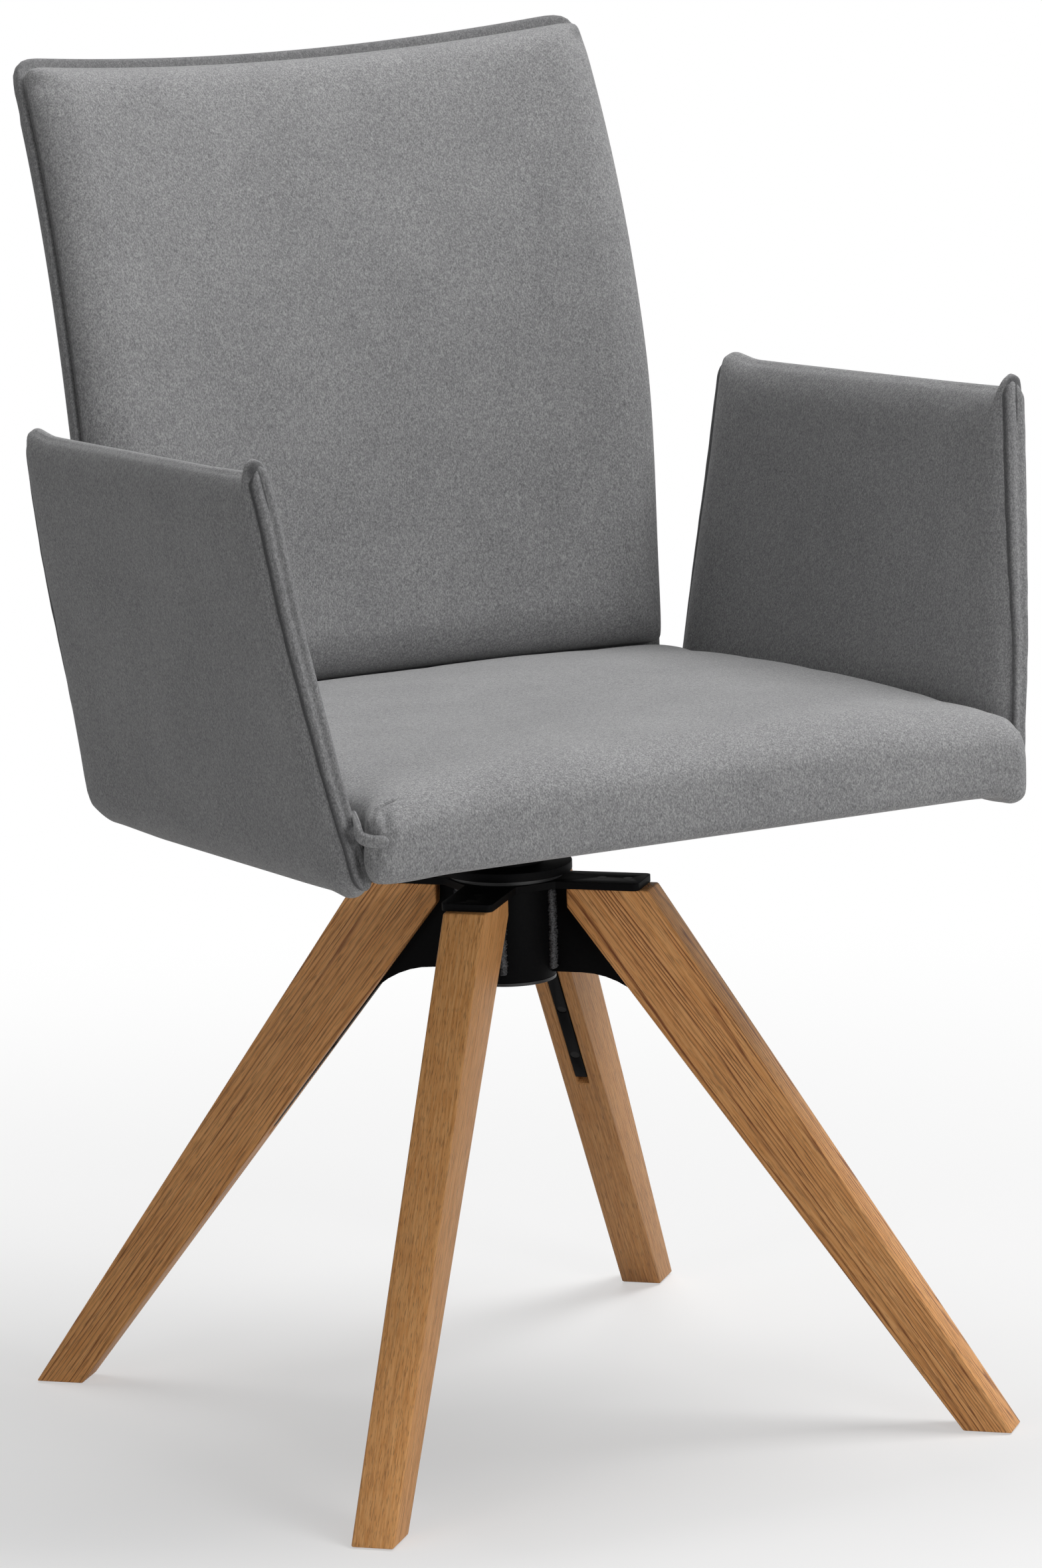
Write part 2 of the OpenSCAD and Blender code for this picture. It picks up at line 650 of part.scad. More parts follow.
// Cross rail between the two side rails, from the place y back to y + rail_w
module cross_rail(y) color("burlywood") seat_frame() difference() {
    from = frame_side(y) - rail_w / cos(side_turn);
    to = frame_side(y + rail_w) - rail_w / cos(side_turn);
    translate([0, 0, board_top]) linear_extrude(rail_h)
        polygon([[-from, y], [from, y], [to, y + rail_w], [-to, y + rail_w]]);
    back_bolt_holes(insert_r + seat_fit);
}
module rail_front() cross_rail(frame_front);
module rail_rear() cross_rail(frame_rear - rail_w);

module side_rail(side) color("burlywood") seat_frame() scale([side, 1, 1]) difference() {
    across = [rail_w / cos(side_turn), 0];
    a = [frame_side(frame_front), frame_front];
    b = [frame_side(frame_rear), frame_rear];
    translate([0, 0, board_top]) linear_extrude(rail_h) polygon([a, b, b - across, a - across]);
    arm_bolt_holes(insert_r + seat_fit);
}

// Holes along the two bolts of a left arm, from the middle of the seat into the arm's board
module arm_bolt_holes(r) for (y = arm_bolt_at) translate([0, y, bolt_z]) rotate([0, 90, 0])
    cylinder(r = r, h = arm_board_face(y));
// Place of each back bolt, and the holes along them from the middle of the seat to the back's board
module back_bolt_places(y) for (s = [-1, 1]) translate([s * back_bolt_gap / 2, y, bolt_z]) children();
module back_bolt_holes(r) back_bolt_places(0) rotate([-90, 0, 0]) cylinder(r = r, h = back_board_rear);

module insert_nuts() color("gold") seat_frame() {
    for (side = [LEFT, RIGHT], y = arm_bolt_at)
        translate([side * (frame_side(y) - insert_r * tan(side_turn)), y, bolt_z])
            rotate([0, -side * 90, 0]) insert();
    back_bolt_places(frame_rear) rotate([90, 0, 0]) insert();
}
module insert() difference() {
    cylinder(r = insert_r, h = insert_len);
    translate([0, 0, -over]) cylinder(r = bolt_d / 2 + run_fit, h = insert_len + 2 * over);
}

module arm_bolts() color("silver") seat_frame() for (side = [LEFT, RIGHT], y = arm_bolt_at) {
    from = arm_board_face(y) - head_sink;
    translate([side * from, y, bolt_z]) rotate([0, -side * 90, 0])
        bolt(from - frame_side(y) + insert_len - over);
}

module back_bolts() color("silver") seat_frame() back_bolt_places(back_board_rear - head_sink)
    rotate([90, 0, 0]) bolt(back_board_rear - head_sink - frame_rear + insert_len - over);

// Holes along all arm bolts and back bolts
module bolt_holes(r) {
    for (side = [LEFT, RIGHT]) scale([side, 1, 1]) arm_bolt_holes(r);
    back_bolt_holes(r);
}

// Seat cushion: flat below, drawn-in sides, a crown, a top that falls to the front edge, and a
// rear face that fills the back's hollow
seat_radii = [seat_corner, seat_corner, seat_corner, seat_corner];
function seat_loop(in, z) = [for (p = loop_of([-seat_w_rear / 2, -seat_front], [seat_w_rear / 2, seat_rear],
    seat_radii, in, [7, 7])) let (x = p[0] / (seat_w_rear / 2) * seat_side(p[1], z),
    ahead = (p[1] + seat_front) / seat_len, fall = max(0, 1 - (p[1] + seat_front) / seat_fall_len))
    [x, p[1] + back_bend * hollow(x) * pow(ahead, 3), z * (1 - seat_fall / seat_h * fall * fall)]];
// Border and height, from the middle of the underside round to the middle of the top
function seat_rings(off) = let (high = seat_h - off) concat([[seat_dome, off], [seat_draw, off]],
    [for (a = [30:30:90]) [seat_draw * (1 - sin(a)), off + seat_draw * (1 - cos(a))]],
    [for (a = [0:30:90]) [seat_round * (1 - cos(a)), high - seat_round * (1 - sin(a))]],
    [for (k = [1:3]) let (in = seat_round + (seat_dome - seat_round) * k / 3) [in, high + seat_rise(in)]]);
module seat_form(off) skin([for (f = seat_rings(off)) seat_loop(f[0] + off, f[1])]);

module seat_cover() color("gray") seat_frame() difference() {
    seat_form(0);
    seat_form(fabric);
    translate([0, 0, -over]) linear_extrude(fabric + 2 * over) polygon(frame_outline(hem));
    bolt_holes(bolt_hole_r);
}

module seat_foam() color("khaki") seat_frame() difference() {
    seat_form(fabric + foam_gap);
    translate([0, 0, -over]) linear_extrude(board_top + foam_gap + over)
        polygon(frame_outline(board_inset - foam_gap));
    translate([0, 0, board_top]) linear_extrude(rail_h + foam_gap) difference() {
        polygon(frame_outline(board_inset - foam_gap));
        polygon(frame_outline(board_inset + rail_w + foam_gap));
    }
    bolt_holes(insert_r);
}

// Thin cloth that closes the seat's underside
module dust_cover() color("black") seat_frame() difference() {
    linear_extrude(dust_t) polygon(frame_outline(hem + foam_gap));
    bolt_places() translate([0, 0, -over]) cylinder(r = bolt_hole_r, h = dust_t + 2 * over);
}

// Arm panel: length runs along the first axis of its loop from the rear, and height along the second
function arm_point(u, b, h, side) = let (z = b - arm_drop)
    [side * (arm_mid(u, z) + h), arm_rear_at(z) - u * arm_len_at(z), z];
arm_radii = [arm_corner_heel, arm_corner, arm_corner, arm_corner];
function arm_loop(in, h, side) = [for (p = loop_of([strip_t - arm_len_foot, 0], [-strip_t, arm_high],
    arm_radii, in, [4, 4])) arm_point(-p[0] / arm_len_foot, p[1], side * h, side)];
// Border and share of the padding, from the edge to the middle of a face
arm_rings = [for (a = [0:18:90]) [arm_puff * (1 - cos(a)), sin(a)]];
module arm_form(off, side) skin([for (s = [-1, 1], k = [0:5]) let (f = arm_rings[s < 0 ? 5 - k : k])
    arm_loop(f[0] + off, s * (strip_w / 2 - off + f[1] * (arm_t - strip_w) / 2), side)]);
module arm_board_form(grow, side) skin([for (s = [-1, 1])
    arm_loop(arm_board_inset - grow, s * (arm_board_t / 2 + grow), side)]);

module arm_board(side) color("burlywood") seat_frame() difference() {
    arm_board_form(0, side);
    scale([side, 1, 1]) arm_bolt_holes(bolt_hole_r);
    for (y = arm_bolt_at) translate([side * (arm_board_face(y) - head_sink), y, bolt_z])
        rotate([0, side * 90, 0]) cylinder(d = bolt_head_d + 2 * bolt_gap, h = arm_t);
}

module arm_foam(side) color("khaki") seat_frame() difference() {
    arm_form(fabric + foam_gap, side);
    arm_board_form(foam_gap, side);
    scale([side, 1, 1]) arm_bolt_holes(bolt_hole_r);
}

module arm_cover(side) color("gray") seat_frame() difference() {
    arm_form(0, side);
    arm_form(fabric, side);
    scale([side, 1, 1]) arm_bolt_holes(bolt_hole_r);
}

// Boxed strip down the front end (end = 1) or rear end (end = 0) of an arm, between two corners
strip_steps = 8;
function strip_ring(b, side, end) = let (thick = (strip_t - soft_gap) / arm_len_foot)
    [for (a = [-90:36:90]) let (in = thick * (1 - cos(a)))
        arm_point(end == 1 ? 1 - in : in, b, strip_w / 2 * sin(a), side)];
module arm_strip(side, end) color("gray") seat_frame() {
    low = end == 1 ? arm_corner : arm_corner_heel;
    step = (arm_high - arm_corner - low) / strip_steps;
    rings = [for (k = [0:strip_steps]) strip_ring(low + step * k, side, end)];
    skin(side * (end == 1 ? 1 : -1) > 0 ? rings : [for (k = [strip_steps:-1:0]) rings[k]]);
}

// Back: height along the second axis of its loop, from low to the top
back_radii = [back_corner, back_corner, back_corner, back_corner];
function back_loop(in, d, low) = [for (p = loop_of([-back_w / 2, low], [back_w / 2, back_top], back_radii,
    in, [8, 8])) back_point(p[0], back_share(p[1]), d)];
// Borders of the inner loops on the back's wide faces, from the middle out and from the rim in
back_inner = [200, 130, 60];
back_inwards = [for (k = [2:-1:0]) back_inner[k]];
// Border and share of half the thickness, from the middle of the rear round to the middle of the front
shell_rings = concat([for (in = back_inner) [in, -1]],
    [for (a = [-90:30:90]) [(a < 0 ? back_round : band_round) * (1 - cos(a)), sin(a)]],
    [for (in = back_inwards) [in, 1]]);
module shell_form(off) skin([for (f = shell_rings)
    back_loop(f[0] + off, shell_mid + f[1] * (shell_t / 2 - off), back_low)]);
board_rings = concat([for (in = concat(back_inner, back_round)) [in, -1]],
    [for (in = concat(back_round, back_inwards)) [in, 1]]);
module board_form(grow) skin([for (f = board_rings)
    back_loop(f[0] - grow, shell_mid + f[1] * (back_board_t / 2 + grow), back_low)]);

module back_board() color("burlywood") seat_frame() difference() {
    board_form(0);
    back_bolt_holes(bolt_hole_r);
    back_bolt_places(back_board_rear - head_sink) rotate([-90, 0, 0])
        cylinder(d = bolt_head_d + 2 * bolt_gap, h = shell_t);
}

module back_cover() color("gray") seat_frame() difference() {
    shell_form(0);
    board_form(foam_gap);
    back_bolt_holes(bolt_hole_r);
}

// Front pad of the back, from the seat's top to the band at the upper edge
pad_low = seat_h + seat_rise(pad_t + hollow_gap) + soft_gap + pad_bulge;
pad_belly = 0.4;
// Border past the band and share of the pad's thickness, from its rear round to its front
pad_rings = concat([for (in = back_inner) [in, 0]],
    [for (a = [-90:30:0]) [-pad_bulge * cos(a), pad_belly * (1 + sin(a))]],
    [for (a = [30:30:90]) [pad_round - (pad_bulge + pad_round) * cos(a),
        pad_belly + (1 - pad_belly) * sin(a)]],
    [for (in = back_inwards) [in, 1]]);
module pad_form(off) skin([for (f = pad_rings)
    back_loop(f[0] + band_w + off, band_w + hollow_gap + off + f[1] * (pad_t - 2 * off), pad_low - band_w)]);

module back_foam() color("khaki") seat_frame() pad_form(fabric + foam_gap);
module back_pad_cover() color("gray") seat_frame() difference() {
    pad_form(0);
    pad_form(fabric);
}

// Short strap round the seat's right front corner: down along the side, then level round the corner
strap_steps = 6;
strap_turn = seat_corner + soft_gap;
function strap_ring(share) = let (a = 180 + strap_bend * max(0, 1.5 * share - 0.5),
    z = strap_low + (strap_high - strap_low) * pow(1 - share, 3),
    y = strap_tail * max(0, 1 - 3 * share) - seat_front,
    middle = [seat_corner - seat_side(y, z), seat_corner + y, z])
    [for (q = [[0, -1], [1, -1], [1, 1], [0, 1]])
        middle + [(strap_turn + q[0] * strap_t) * cos(a), (strap_turn + q[0] * strap_t) * sin(a),
            q[1] * strap_w / 2]];
module seat_strap() color("gray") seat_frame() skin([for (k = [0:strap_steps]) strap_ring(k / strap_steps)]);

leg(front_left);  // leg_front_left
leg(front_right);  // leg_front_right
leg(rear_left);  // leg_rear_left
leg(rear_right);  // leg_rear_right
glides();
bracket(front_left);  // bracket_front_left
bracket(front_right);  // bracket_front_right
bracket(rear_left);  // bracket_rear_left
bracket(rear_right);  // bracket_rear_right
column_tube();
cross_plate();
weld_beads();
plate_screws();
leg_screws();
upper_bush();
lower_bush();
column_cap();
spindle();
swivel_hub();
spindle_washer();
retaining_ring();
seat_plate();
plate_bolts();
tee_nuts();
seat_board();
rail_front();
rail_rear();
side_rail(LEFT);  // rail_left
side_rail(RIGHT);  // rail_right
insert_nuts();
arm_bolts();
back_bolts();
seat_foam();
seat_cover();
dust_cover();
back_board();
back_foam();
back_cover();
back_pad_cover();
arm_board(LEFT);  // arm_board_left
arm_board(RIGHT);  // arm_board_right
arm_foam(LEFT);  // arm_foam_left
arm_foam(RIGHT);  // arm_foam_right
arm_cover(LEFT);  // arm_cover_left
arm_cover(RIGHT);  // arm_cover_right
arm_strip(LEFT, 1);  // arm_strip_front_left
arm_strip(RIGHT, 1);  // arm_strip_front_right
arm_strip(LEFT, 0);  // arm_strip_rear_left
arm_strip(RIGHT, 0);  // arm_strip_rear_right
seat_strap();
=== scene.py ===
import math
import bmesh
import bpy
import numpy as np
from mathutils import Matrix, Vector, noise


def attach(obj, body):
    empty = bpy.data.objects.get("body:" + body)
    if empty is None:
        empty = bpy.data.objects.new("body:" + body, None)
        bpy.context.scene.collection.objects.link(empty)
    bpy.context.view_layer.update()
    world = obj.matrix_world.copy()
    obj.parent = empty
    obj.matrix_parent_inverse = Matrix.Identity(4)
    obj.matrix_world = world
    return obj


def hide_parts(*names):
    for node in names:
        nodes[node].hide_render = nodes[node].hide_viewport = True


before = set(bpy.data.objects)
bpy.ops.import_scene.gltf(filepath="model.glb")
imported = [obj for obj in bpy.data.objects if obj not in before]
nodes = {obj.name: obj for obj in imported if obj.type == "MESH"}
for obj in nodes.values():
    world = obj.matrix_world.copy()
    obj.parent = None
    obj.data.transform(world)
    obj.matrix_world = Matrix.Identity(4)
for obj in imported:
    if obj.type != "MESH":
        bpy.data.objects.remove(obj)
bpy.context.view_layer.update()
scene = bpy.context.scene
mm = 0.001
base, seatUnit = "base", "seat_unit"
print("chair: frame loaded,", len(nodes), "nodes")

# The camera stands where the photograph was taken: in front, to the sitter's right and above.
view = {"place": (-2.4188, -4.4657, 1.4578), "turn": 28.613, "down": 11.496, "roll": -1.581,
        "lens": 178.78, "sensor": 36}
turn, down, roll = (math.radians(view[key]) for key in ("turn", "down", "roll"))
ahead = Vector((math.sin(turn) * math.cos(down), math.cos(turn) * math.cos(down), -math.sin(down)))
level = Vector((math.cos(turn), -math.sin(turn), 0))
upward = level.cross(ahead)
right = math.cos(roll) * level + math.sin(roll) * upward
above = math.cos(roll) * upward - math.sin(roll) * level
cameraData = bpy.data.cameras.new("camera")
cameraData.lens, cameraData.sensor_width = view["lens"], view["sensor"]
camera = bpy.data.objects.new("camera", cameraData)
camera.matrix_world = Matrix.Translation(view["place"]) @ Matrix((right, above, -ahead)).transposed().to_4x4()
scene.collection.objects.link(camera)
scene.camera = camera


def deselect():  # object mode, with nothing selected
    if bpy.context.mode != "OBJECT":
        bpy.ops.object.mode_set(mode="OBJECT")
    bpy.ops.object.select_all(action="DESELECT")


def activate(piece):  # object mode, with only this piece selected
    deselect()
    bpy.context.view_layer.objects.active = piece
    piece.select_set(True)


def pick(piece, kind, wanted):  # edit mode, with only the wanted edges or faces selected
    activate(piece)
    bpy.ops.object.mode_set(mode="EDIT")
    bpy.ops.mesh.select_mode(type=kind)
    bpy.ops.mesh.select_all(action="DESELECT")
    shape = bmesh.from_edit_mesh(piece.data)
    for part in shape.edges if kind == "EDGE" else shape.faces:
        part.select_set(bool(wanted(part)))
    bmesh.update_edit_mesh(piece.data)


def change(piece, kind, **settings):  # adds a modifier and applies it
    modifier = piece.modifiers.new(kind.lower(), kind)
    for name, value in settings.items():
        setattr(modifier, name, value)
    activate(piece)
    bpy.ops.object.modifier_apply(modifier=modifier.name)


def named(name):  # the object that an operator has just added
    piece = bpy.context.object
    piece.name = piece.data.name = name
    bpy.ops.object.transform_apply(location=True, rotation=True, scale=True)
    return piece


def faceOut(piece):
    activate(piece)
    bpy.ops.object.mode_set(mode="EDIT")
    bpy.ops.mesh.select_all(action="SELECT")
    bpy.ops.mesh.normals_make_consistent(inside=False)
    activate(piece)


def smooth(piece, angle=180):
    activate(piece)
    bpy.ops.object.shade_smooth_by_angle(angle=math.radians(angle))


def readPoints(piece):  # in millimetres
    flat = np.empty(len(piece.data.vertices) * 3)
    piece.data.vertices.foreach_get("co", flat)
    return flat.reshape(-1, 3) / mm


def writePoints(piece, points):
    piece.data.vertices.foreach_set("co", (np.asarray(points) * mm).ravel())
    piece.data.update()


def readNormals(piece):
    flat = np.empty(len(piece.data.vertices) * 3)
    piece.data.vertex_normals.foreach_get("vector", flat)
    return flat.reshape(-1, 3)


def ramp(x, start, end):  # 0 up to the start, 1 from the end on, smooth in between, in either direction
    t = np.clip((x - start) / (end - start), 0, 1)
    return t * t * (3 - 2 * t)


def bump(x, middle, width):  # 1 in the middle, and fading to 0 on both sides
    return np.exp(-((x - middle) / width) ** 2)


# Places of the upholstered part: its own frame is tilted back about the swivel axis.
tilt = {"axisY": -8, "seatZ": 422.5, "pitch": 3}


def fromSeatFrame(x, y, z):
    c, s = math.cos(math.radians(tilt["pitch"])), math.sin(math.radians(tilt["pitch"]))
    return np.stack((x, tilt["axisY"] + y * c + z * s, tilt["seatZ"] - y * s + z * c), axis=1)


arm = {"footLength": 420, "topLength": 346, "rearRake": 26, "rear": 157, "height": 265.5, "crest": 260, "drop": 6,
       "leanFront": 7.7, "leanRear": 9.1, "middle": 229.4, "toe": 19, "boltHeight": 31, "halfEdge": 6,
       "halfThick": 13, "puff": 34}


def armRear(z):
    return arm["rear"] - arm["rearRake"] * (z + arm["drop"]) / arm["height"]


def armLength(z):
    return arm["footLength"] + (arm["topLength"] - arm["footLength"]) * (z + arm["drop"]) / arm["height"]


def armMiddle(u, z):
    lean = np.radians(arm["leanRear"] + (arm["leanFront"] - arm["leanRear"]) * u)
    return arm["middle"] + u * arm["toe"] + (z - arm["boltHeight"]) * np.tan(lean)


def placeArm(points, side):  # run from the rear end, height and depth of a flat arm, to its place
    u, z = points[:, 0] / arm["footLength"], points[:, 1] - arm["drop"]
    return fromSeatFrame(side * (armMiddle(u, z) + points[:, 2]), armRear(z) - u * armLength(z), z)


seat = {"front": -284, "rear": 152.5, "half": 216, "height": 56, "crown": 11, "dome": 150, "round": 12, "draw": 4,
        "fall": 8, "fallLength": 44, "flare": 5.8, "flareLean": -0.03, "stripWidth": 9, "slip": 13.4, "corner": 14,
        "hollow": 22}
# Where the seat's sides and faces are full or drawn in, in its frame: the way, and where it starts and is whole.
seatSides = [{"way": -4, "x": (190, 212), "y": (-256, -270)},
             {"way": -5.4, "x": (-190, -212), "y": (-256, -270), "z": (42, 8)}]
seatFaces = [{"way": 2.2, "y": (-150, -20), "z": (20, 56)},
             {"way": 2.3, "wide": (140, 210), "y": (-150, -20), "z": (20, 56)},
             {"way": 3.4, "wide": (140, 210), "aboutY": (-120, 110), "z": (20, 56)},
             {"way": -5.5, "wide": (110, 212), "y": (-110, -285), "z": (20, 56)}]
seatHem = [{"way": 1.4, "wide": (206, 170), "y": (-230, -275), "z": (26, 4)},
           {"way": -5, "x": (188, 206), "y": (-230, -275), "z": (26, 4)}]


def seatSide(y, z):
    u = (armRear(z) - y) / armLength(z)
    past = np.clip((u - 1) * armLength(z) / seat["stripWidth"], 0, 1)
    return armMiddle(u, z) - seat["slip"] + (seat["flare"] + seat["flareLean"] * z) * past


back = {"foot": 161, "top": 490, "reach": 81.5, "lean": 26, "holdLow": 130, "holdTop": 196, "half": 218,
        "bow": 4, "bend": 22, "sag": 3, "corner": 14, "low": 4, "band": 7, "shell": 17, "padThick": 22,
        "gap": 1.5, "padLow": 62.5, "sideBand": 2.5, "topBand": 9,
        "inset": 2, "full": 4.5}
lean = math.radians(back["lean"])
backCurve = np.array([[back["foot"], 0], [back["foot"], back["holdLow"]],
                      [back["foot"] + back["reach"] - back["holdTop"] * math.sin(lean),
                       back["top"] - back["holdTop"] * math.cos(lean)],
                      [back["foot"] + back["reach"], back["top"]]])
curveShares = np.linspace(-0.05, 1.05, 441)


def backEdge(t):
    s = 1 - t
    weights = np.stack((s ** 3, 3 * s * s * t, 3 * s * t * t, t ** 3), axis=1)
    return weights @ backCurve


def placeBack(points):  # side place, height and depth ahead of its edge, of a flat back
    x, rise, depth = points.T
    t = np.interp(rise, backEdge(curveShares)[:, 1], curveShares)
    edge = backEdge(t)
    slope = backEdge(t + 0.001) - backEdge(t - 0.001)
    slope /= np.linalg.norm(slope, axis=1)[:, None]
    hollow = 1 - (x / back["half"]) ** 2
    ahead = depth - back["bend"] * hollow
    high = -back["sag"] * hollow * t * t
    return fromSeatFrame(x * (1 + back["bow"] / back["half"] * np.sin(np.pi * t)),
                         edge[:, 0] - slope[:, 1] * ahead + slope[:, 0] * high,
                         edge[:, 1] + slope[:, 0] * ahead + slope[:, 1] * high)


def pulled(places, pulls):  # the sum of the ways by which a list of pulls moves each place
    total = 0
    for pull in pulls:
        way = pull["way"]
        for name, span in pull.items():
            if name.startswith("about"):
                way = way * bump(places[name[5:].lower()], *span)
            elif name != "way":
                way = way * ramp(places[name], *span)
        total = total + way
    return total


def placeSeat(points):
    x, y, z = points.T
    places = {"x": x, "y": y, "z": z, "wide": np.abs(x)}
    along = (y - seat["front"]) / (seat["rear"] - seat["front"])
    fall = np.clip(1 - (y - seat["front"]) / seat["fallLength"], 0, None)
    side = x / seat["half"] * seatSide(y, z) + pulled(places, seatSides)
    hollow = 1 - (side / back["half"]) ** 2
    places["z"] = z * (1 - seat["fall"] / seat["height"] * fall ** 2)
    places["z"] = places["z"] + pulled(places, seatFaces)
    return fromSeatFrame(side, y + seat["hollow"] * hollow * np.clip(along, 0, 1.1) ** 3,
                         places["z"] + pulled(places, seatHem))


def softBlock(name, low, high, corner, upper, lower):  # a block with rounded corners and rims
    size = [(b - a) * mm for a, b in zip(low, high)]
    middle = [(a + b) / 2 * mm for a, b in zip(low, high)]
    deselect()
    bpy.ops.mesh.primitive_cube_add(size=1, location=middle, scale=size)
    piece = named(name)
    top, bottom = high[2] * mm, low[2] * mm
    pick(piece, "EDGE", lambda edge: abs(edge.verts[0].co.z - edge.verts[1].co.z) > size[2] / 2)
    bpy.ops.mesh.bevel(offset=corner * mm, segments=6, affect="EDGES")
    for level, radius in ((top, upper), (bottom, lower)):
        pick(piece, "EDGE", lambda edge: all(abs(v.co.z - level) < 1e-5 for v in edge.verts))
        bpy.ops.mesh.bevel(offset=radius * mm, segments=5, affect="EDGES")
    activate(piece)
    return piece


filling = {"quality": 5, "mass": 0.3, "stretch": 15, "bend": 0.5, "frames": 20}


def swell(piece, voxel, pressure, cap, free=None):  # fills a pad: cloth under pressure, with a capped way
    change(piece, "REMESH", mode="VOXEL", voxel_size=voxel * mm)
    change(piece, "SMOOTH", factor=0.5, iterations=3)
    start = readPoints(piece)
    share = np.ones(len(start)) if free is None else free(start)
    full = start + readNormals(piece) * (cap * share)[:, None]
    cloth = piece.modifiers.new("cloth", "CLOTH")
    cloth.settings.quality, cloth.settings.mass = filling["quality"], filling["mass"]
    cloth.settings.tension_stiffness = cloth.settings.compression_stiffness = filling["stretch"]
    cloth.settings.bending_stiffness = filling["bend"]
    cloth.settings.use_pressure = True
    cloth.settings.uniform_pressure_force = pressure
    cloth.settings.effector_weights.gravity = 0
    for number in range(1, filling["frames"] + 1):
        scene.frame_set(number)
    activate(piece)
    bpy.ops.object.modifier_apply(modifier="cloth")
    scene.frame_set(1)
    way = readPoints(piece) - start
    length = np.linalg.norm(way, axis=1)
    moved = start + way * (np.minimum(1, cap / np.maximum(length, 1e-6)) * share)[:, None]
    wanted = full.max(axis=0) - full.min(axis=0)  # a filled pad draws its rims in, so it is let out to its size
    moved = full.min(axis=0) + (moved - moved.min(axis=0)) * wanted / (moved.max(axis=0) - moved.min(axis=0))
    writePoints(piece, moved)
    change(piece, "SMOOTH", factor=0.5, iterations=2)
    change(piece, "SUBSURF", levels=1, render_levels=1)


def addNode(tree, kind, settings={}, inputs={}):  # links where an input is a socket, else sets it
    node = tree.nodes.new("ShaderNode" + kind)
    for name, value in settings.items():
        if name == "stops":
            stops = node.color_ramp.elements
            for number, (place, colour) in enumerate(value):
                stop = stops[0] if number == 0 else stops[-1] if number == len(value) - 1 else stops.new(place)
                stop.position, stop.color = place, colour
        else:
            setattr(node, name, value)
    for name, value in inputs.items():
        if isinstance(value, bpy.types.NodeSocket):
            tree.links.new(value, node.inputs[name])
        else:
            node.inputs[name].default_value = value
    return node


def multiplyAdd(tree, value, factor, added):
    return addNode(tree, "Math", {"operation": "MULTIPLY_ADD"}, {0: value, 1: factor, 2: added}).outputs[0]


def linear(hexColour):  # an sRGB hex value as the linear colour that the shader wants
    parts = [int(hexColour[i:i + 2], 16) / 255 for i in (1, 3, 5)]
    return tuple(p / 12.92 if p <= 0.04045 else ((p + 0.055) / 1.055) ** 2.4 for p in parts) + (1,)


def newMaterial(name, **sockets):
    material = bpy.data.materials.new(name)
    material.use_nodes = True
    shader = material.node_tree.nodes["Principled BSDF"]
    for socket, value in sockets.items():
        shader.inputs[socket.replace("_", " ")].default_value = value
    return material, material.node_tree, shader


# Wool felt cloth, woven, fulled and brushed: melange of pale and dark grey fibres, matt with a soft sheen; a dark grey
# for painted shade.
felt = {"dark": "#6f6f71", "middle": "#949495", "pale": "#b9b9b9", "stops": (0.36, 0.5, 0.64), "seam": "#3c3c3e",
        "fibre": 0.95, "mottle": 2.6, "cloud": 60, "nap": 0.7, "fibreShare": 0.78, "mottleShare": 0.15,
        "cloudShare": 0.07, "napShare": 0.4, "relief": 0.6}
greyFelt, tree, shader = newMaterial("greyWoolFelt", Roughness=0.92, Sheen_Weight=0.22, Sheen_Roughness=0.45)
shader.inputs["Specular IOR Level"].default_value = 0.2
coords = addNode(tree, "TexCoord").outputs["Object"]
fibres = addNode(tree, "Mapping", {}, {"Vector": coords, "Rotation": (0.3, 0.5, 0.2), "Scale": (1, 1, 0.62)}).outputs[0]
fine = addNode(tree, "TexNoise", {}, {"Vector": fibres, "Scale": 1 / (felt["fibre"] * mm), "Detail": 5.0,
                                      "Roughness": 0.72}).outputs[0]
mottle = addNode(tree, "TexNoise", {}, {"Vector": fibres, "Scale": 1 / (felt["mottle"] * mm), "Detail": 3.0}).outputs[0]
cloud = addNode(tree, "TexNoise", {}, {"Vector": coords, "Scale": 1 / (felt["cloud"] * mm), "Detail": 2.0}).outputs[0]
nap = addNode(tree, "TexNoise", {}, {"Vector": fibres, "Scale": 1 / (felt["nap"] * mm), "Detail": 2.0}).outputs[0]
blend = 0.0
for source, share in ((mottle, "mottleShare"), (fine, "fibreShare"), (cloud, "cloudShare")):
    blend = multiplyAdd(tree, source, felt[share], blend)
stops = [(place, linear(felt[word])) for place, word in zip(felt["stops"], ("dark", "middle", "pale"))]
colour = addNode(tree, "ValToRGB", {"stops": stops}, {"Fac": blend}).outputs[0]
# An attribute mixes the felt towards a dark grey: painted shade in seams, creases and along rims.
tuck = addNode(tree, "Attribute", {"attribute_name": "tuck"}).outputs["Fac"]
colour = addNode(tree, "Mix", {"data_type": "RGBA"}, {0: tuck, 6: colour, 7: linear(felt["seam"])}).outputs[2]
tree.links.new(colour, shader.inputs["Base Color"])
height = multiplyAdd(tree, nap, felt["napShare"], fine)
relief = addNode(tree, "Bump", {}, {"Strength": 0.5, "Distance": felt["relief"] * mm, "Height": height}).outputs[0]
tree.links.new(relief, shader.inputs["Normal"])

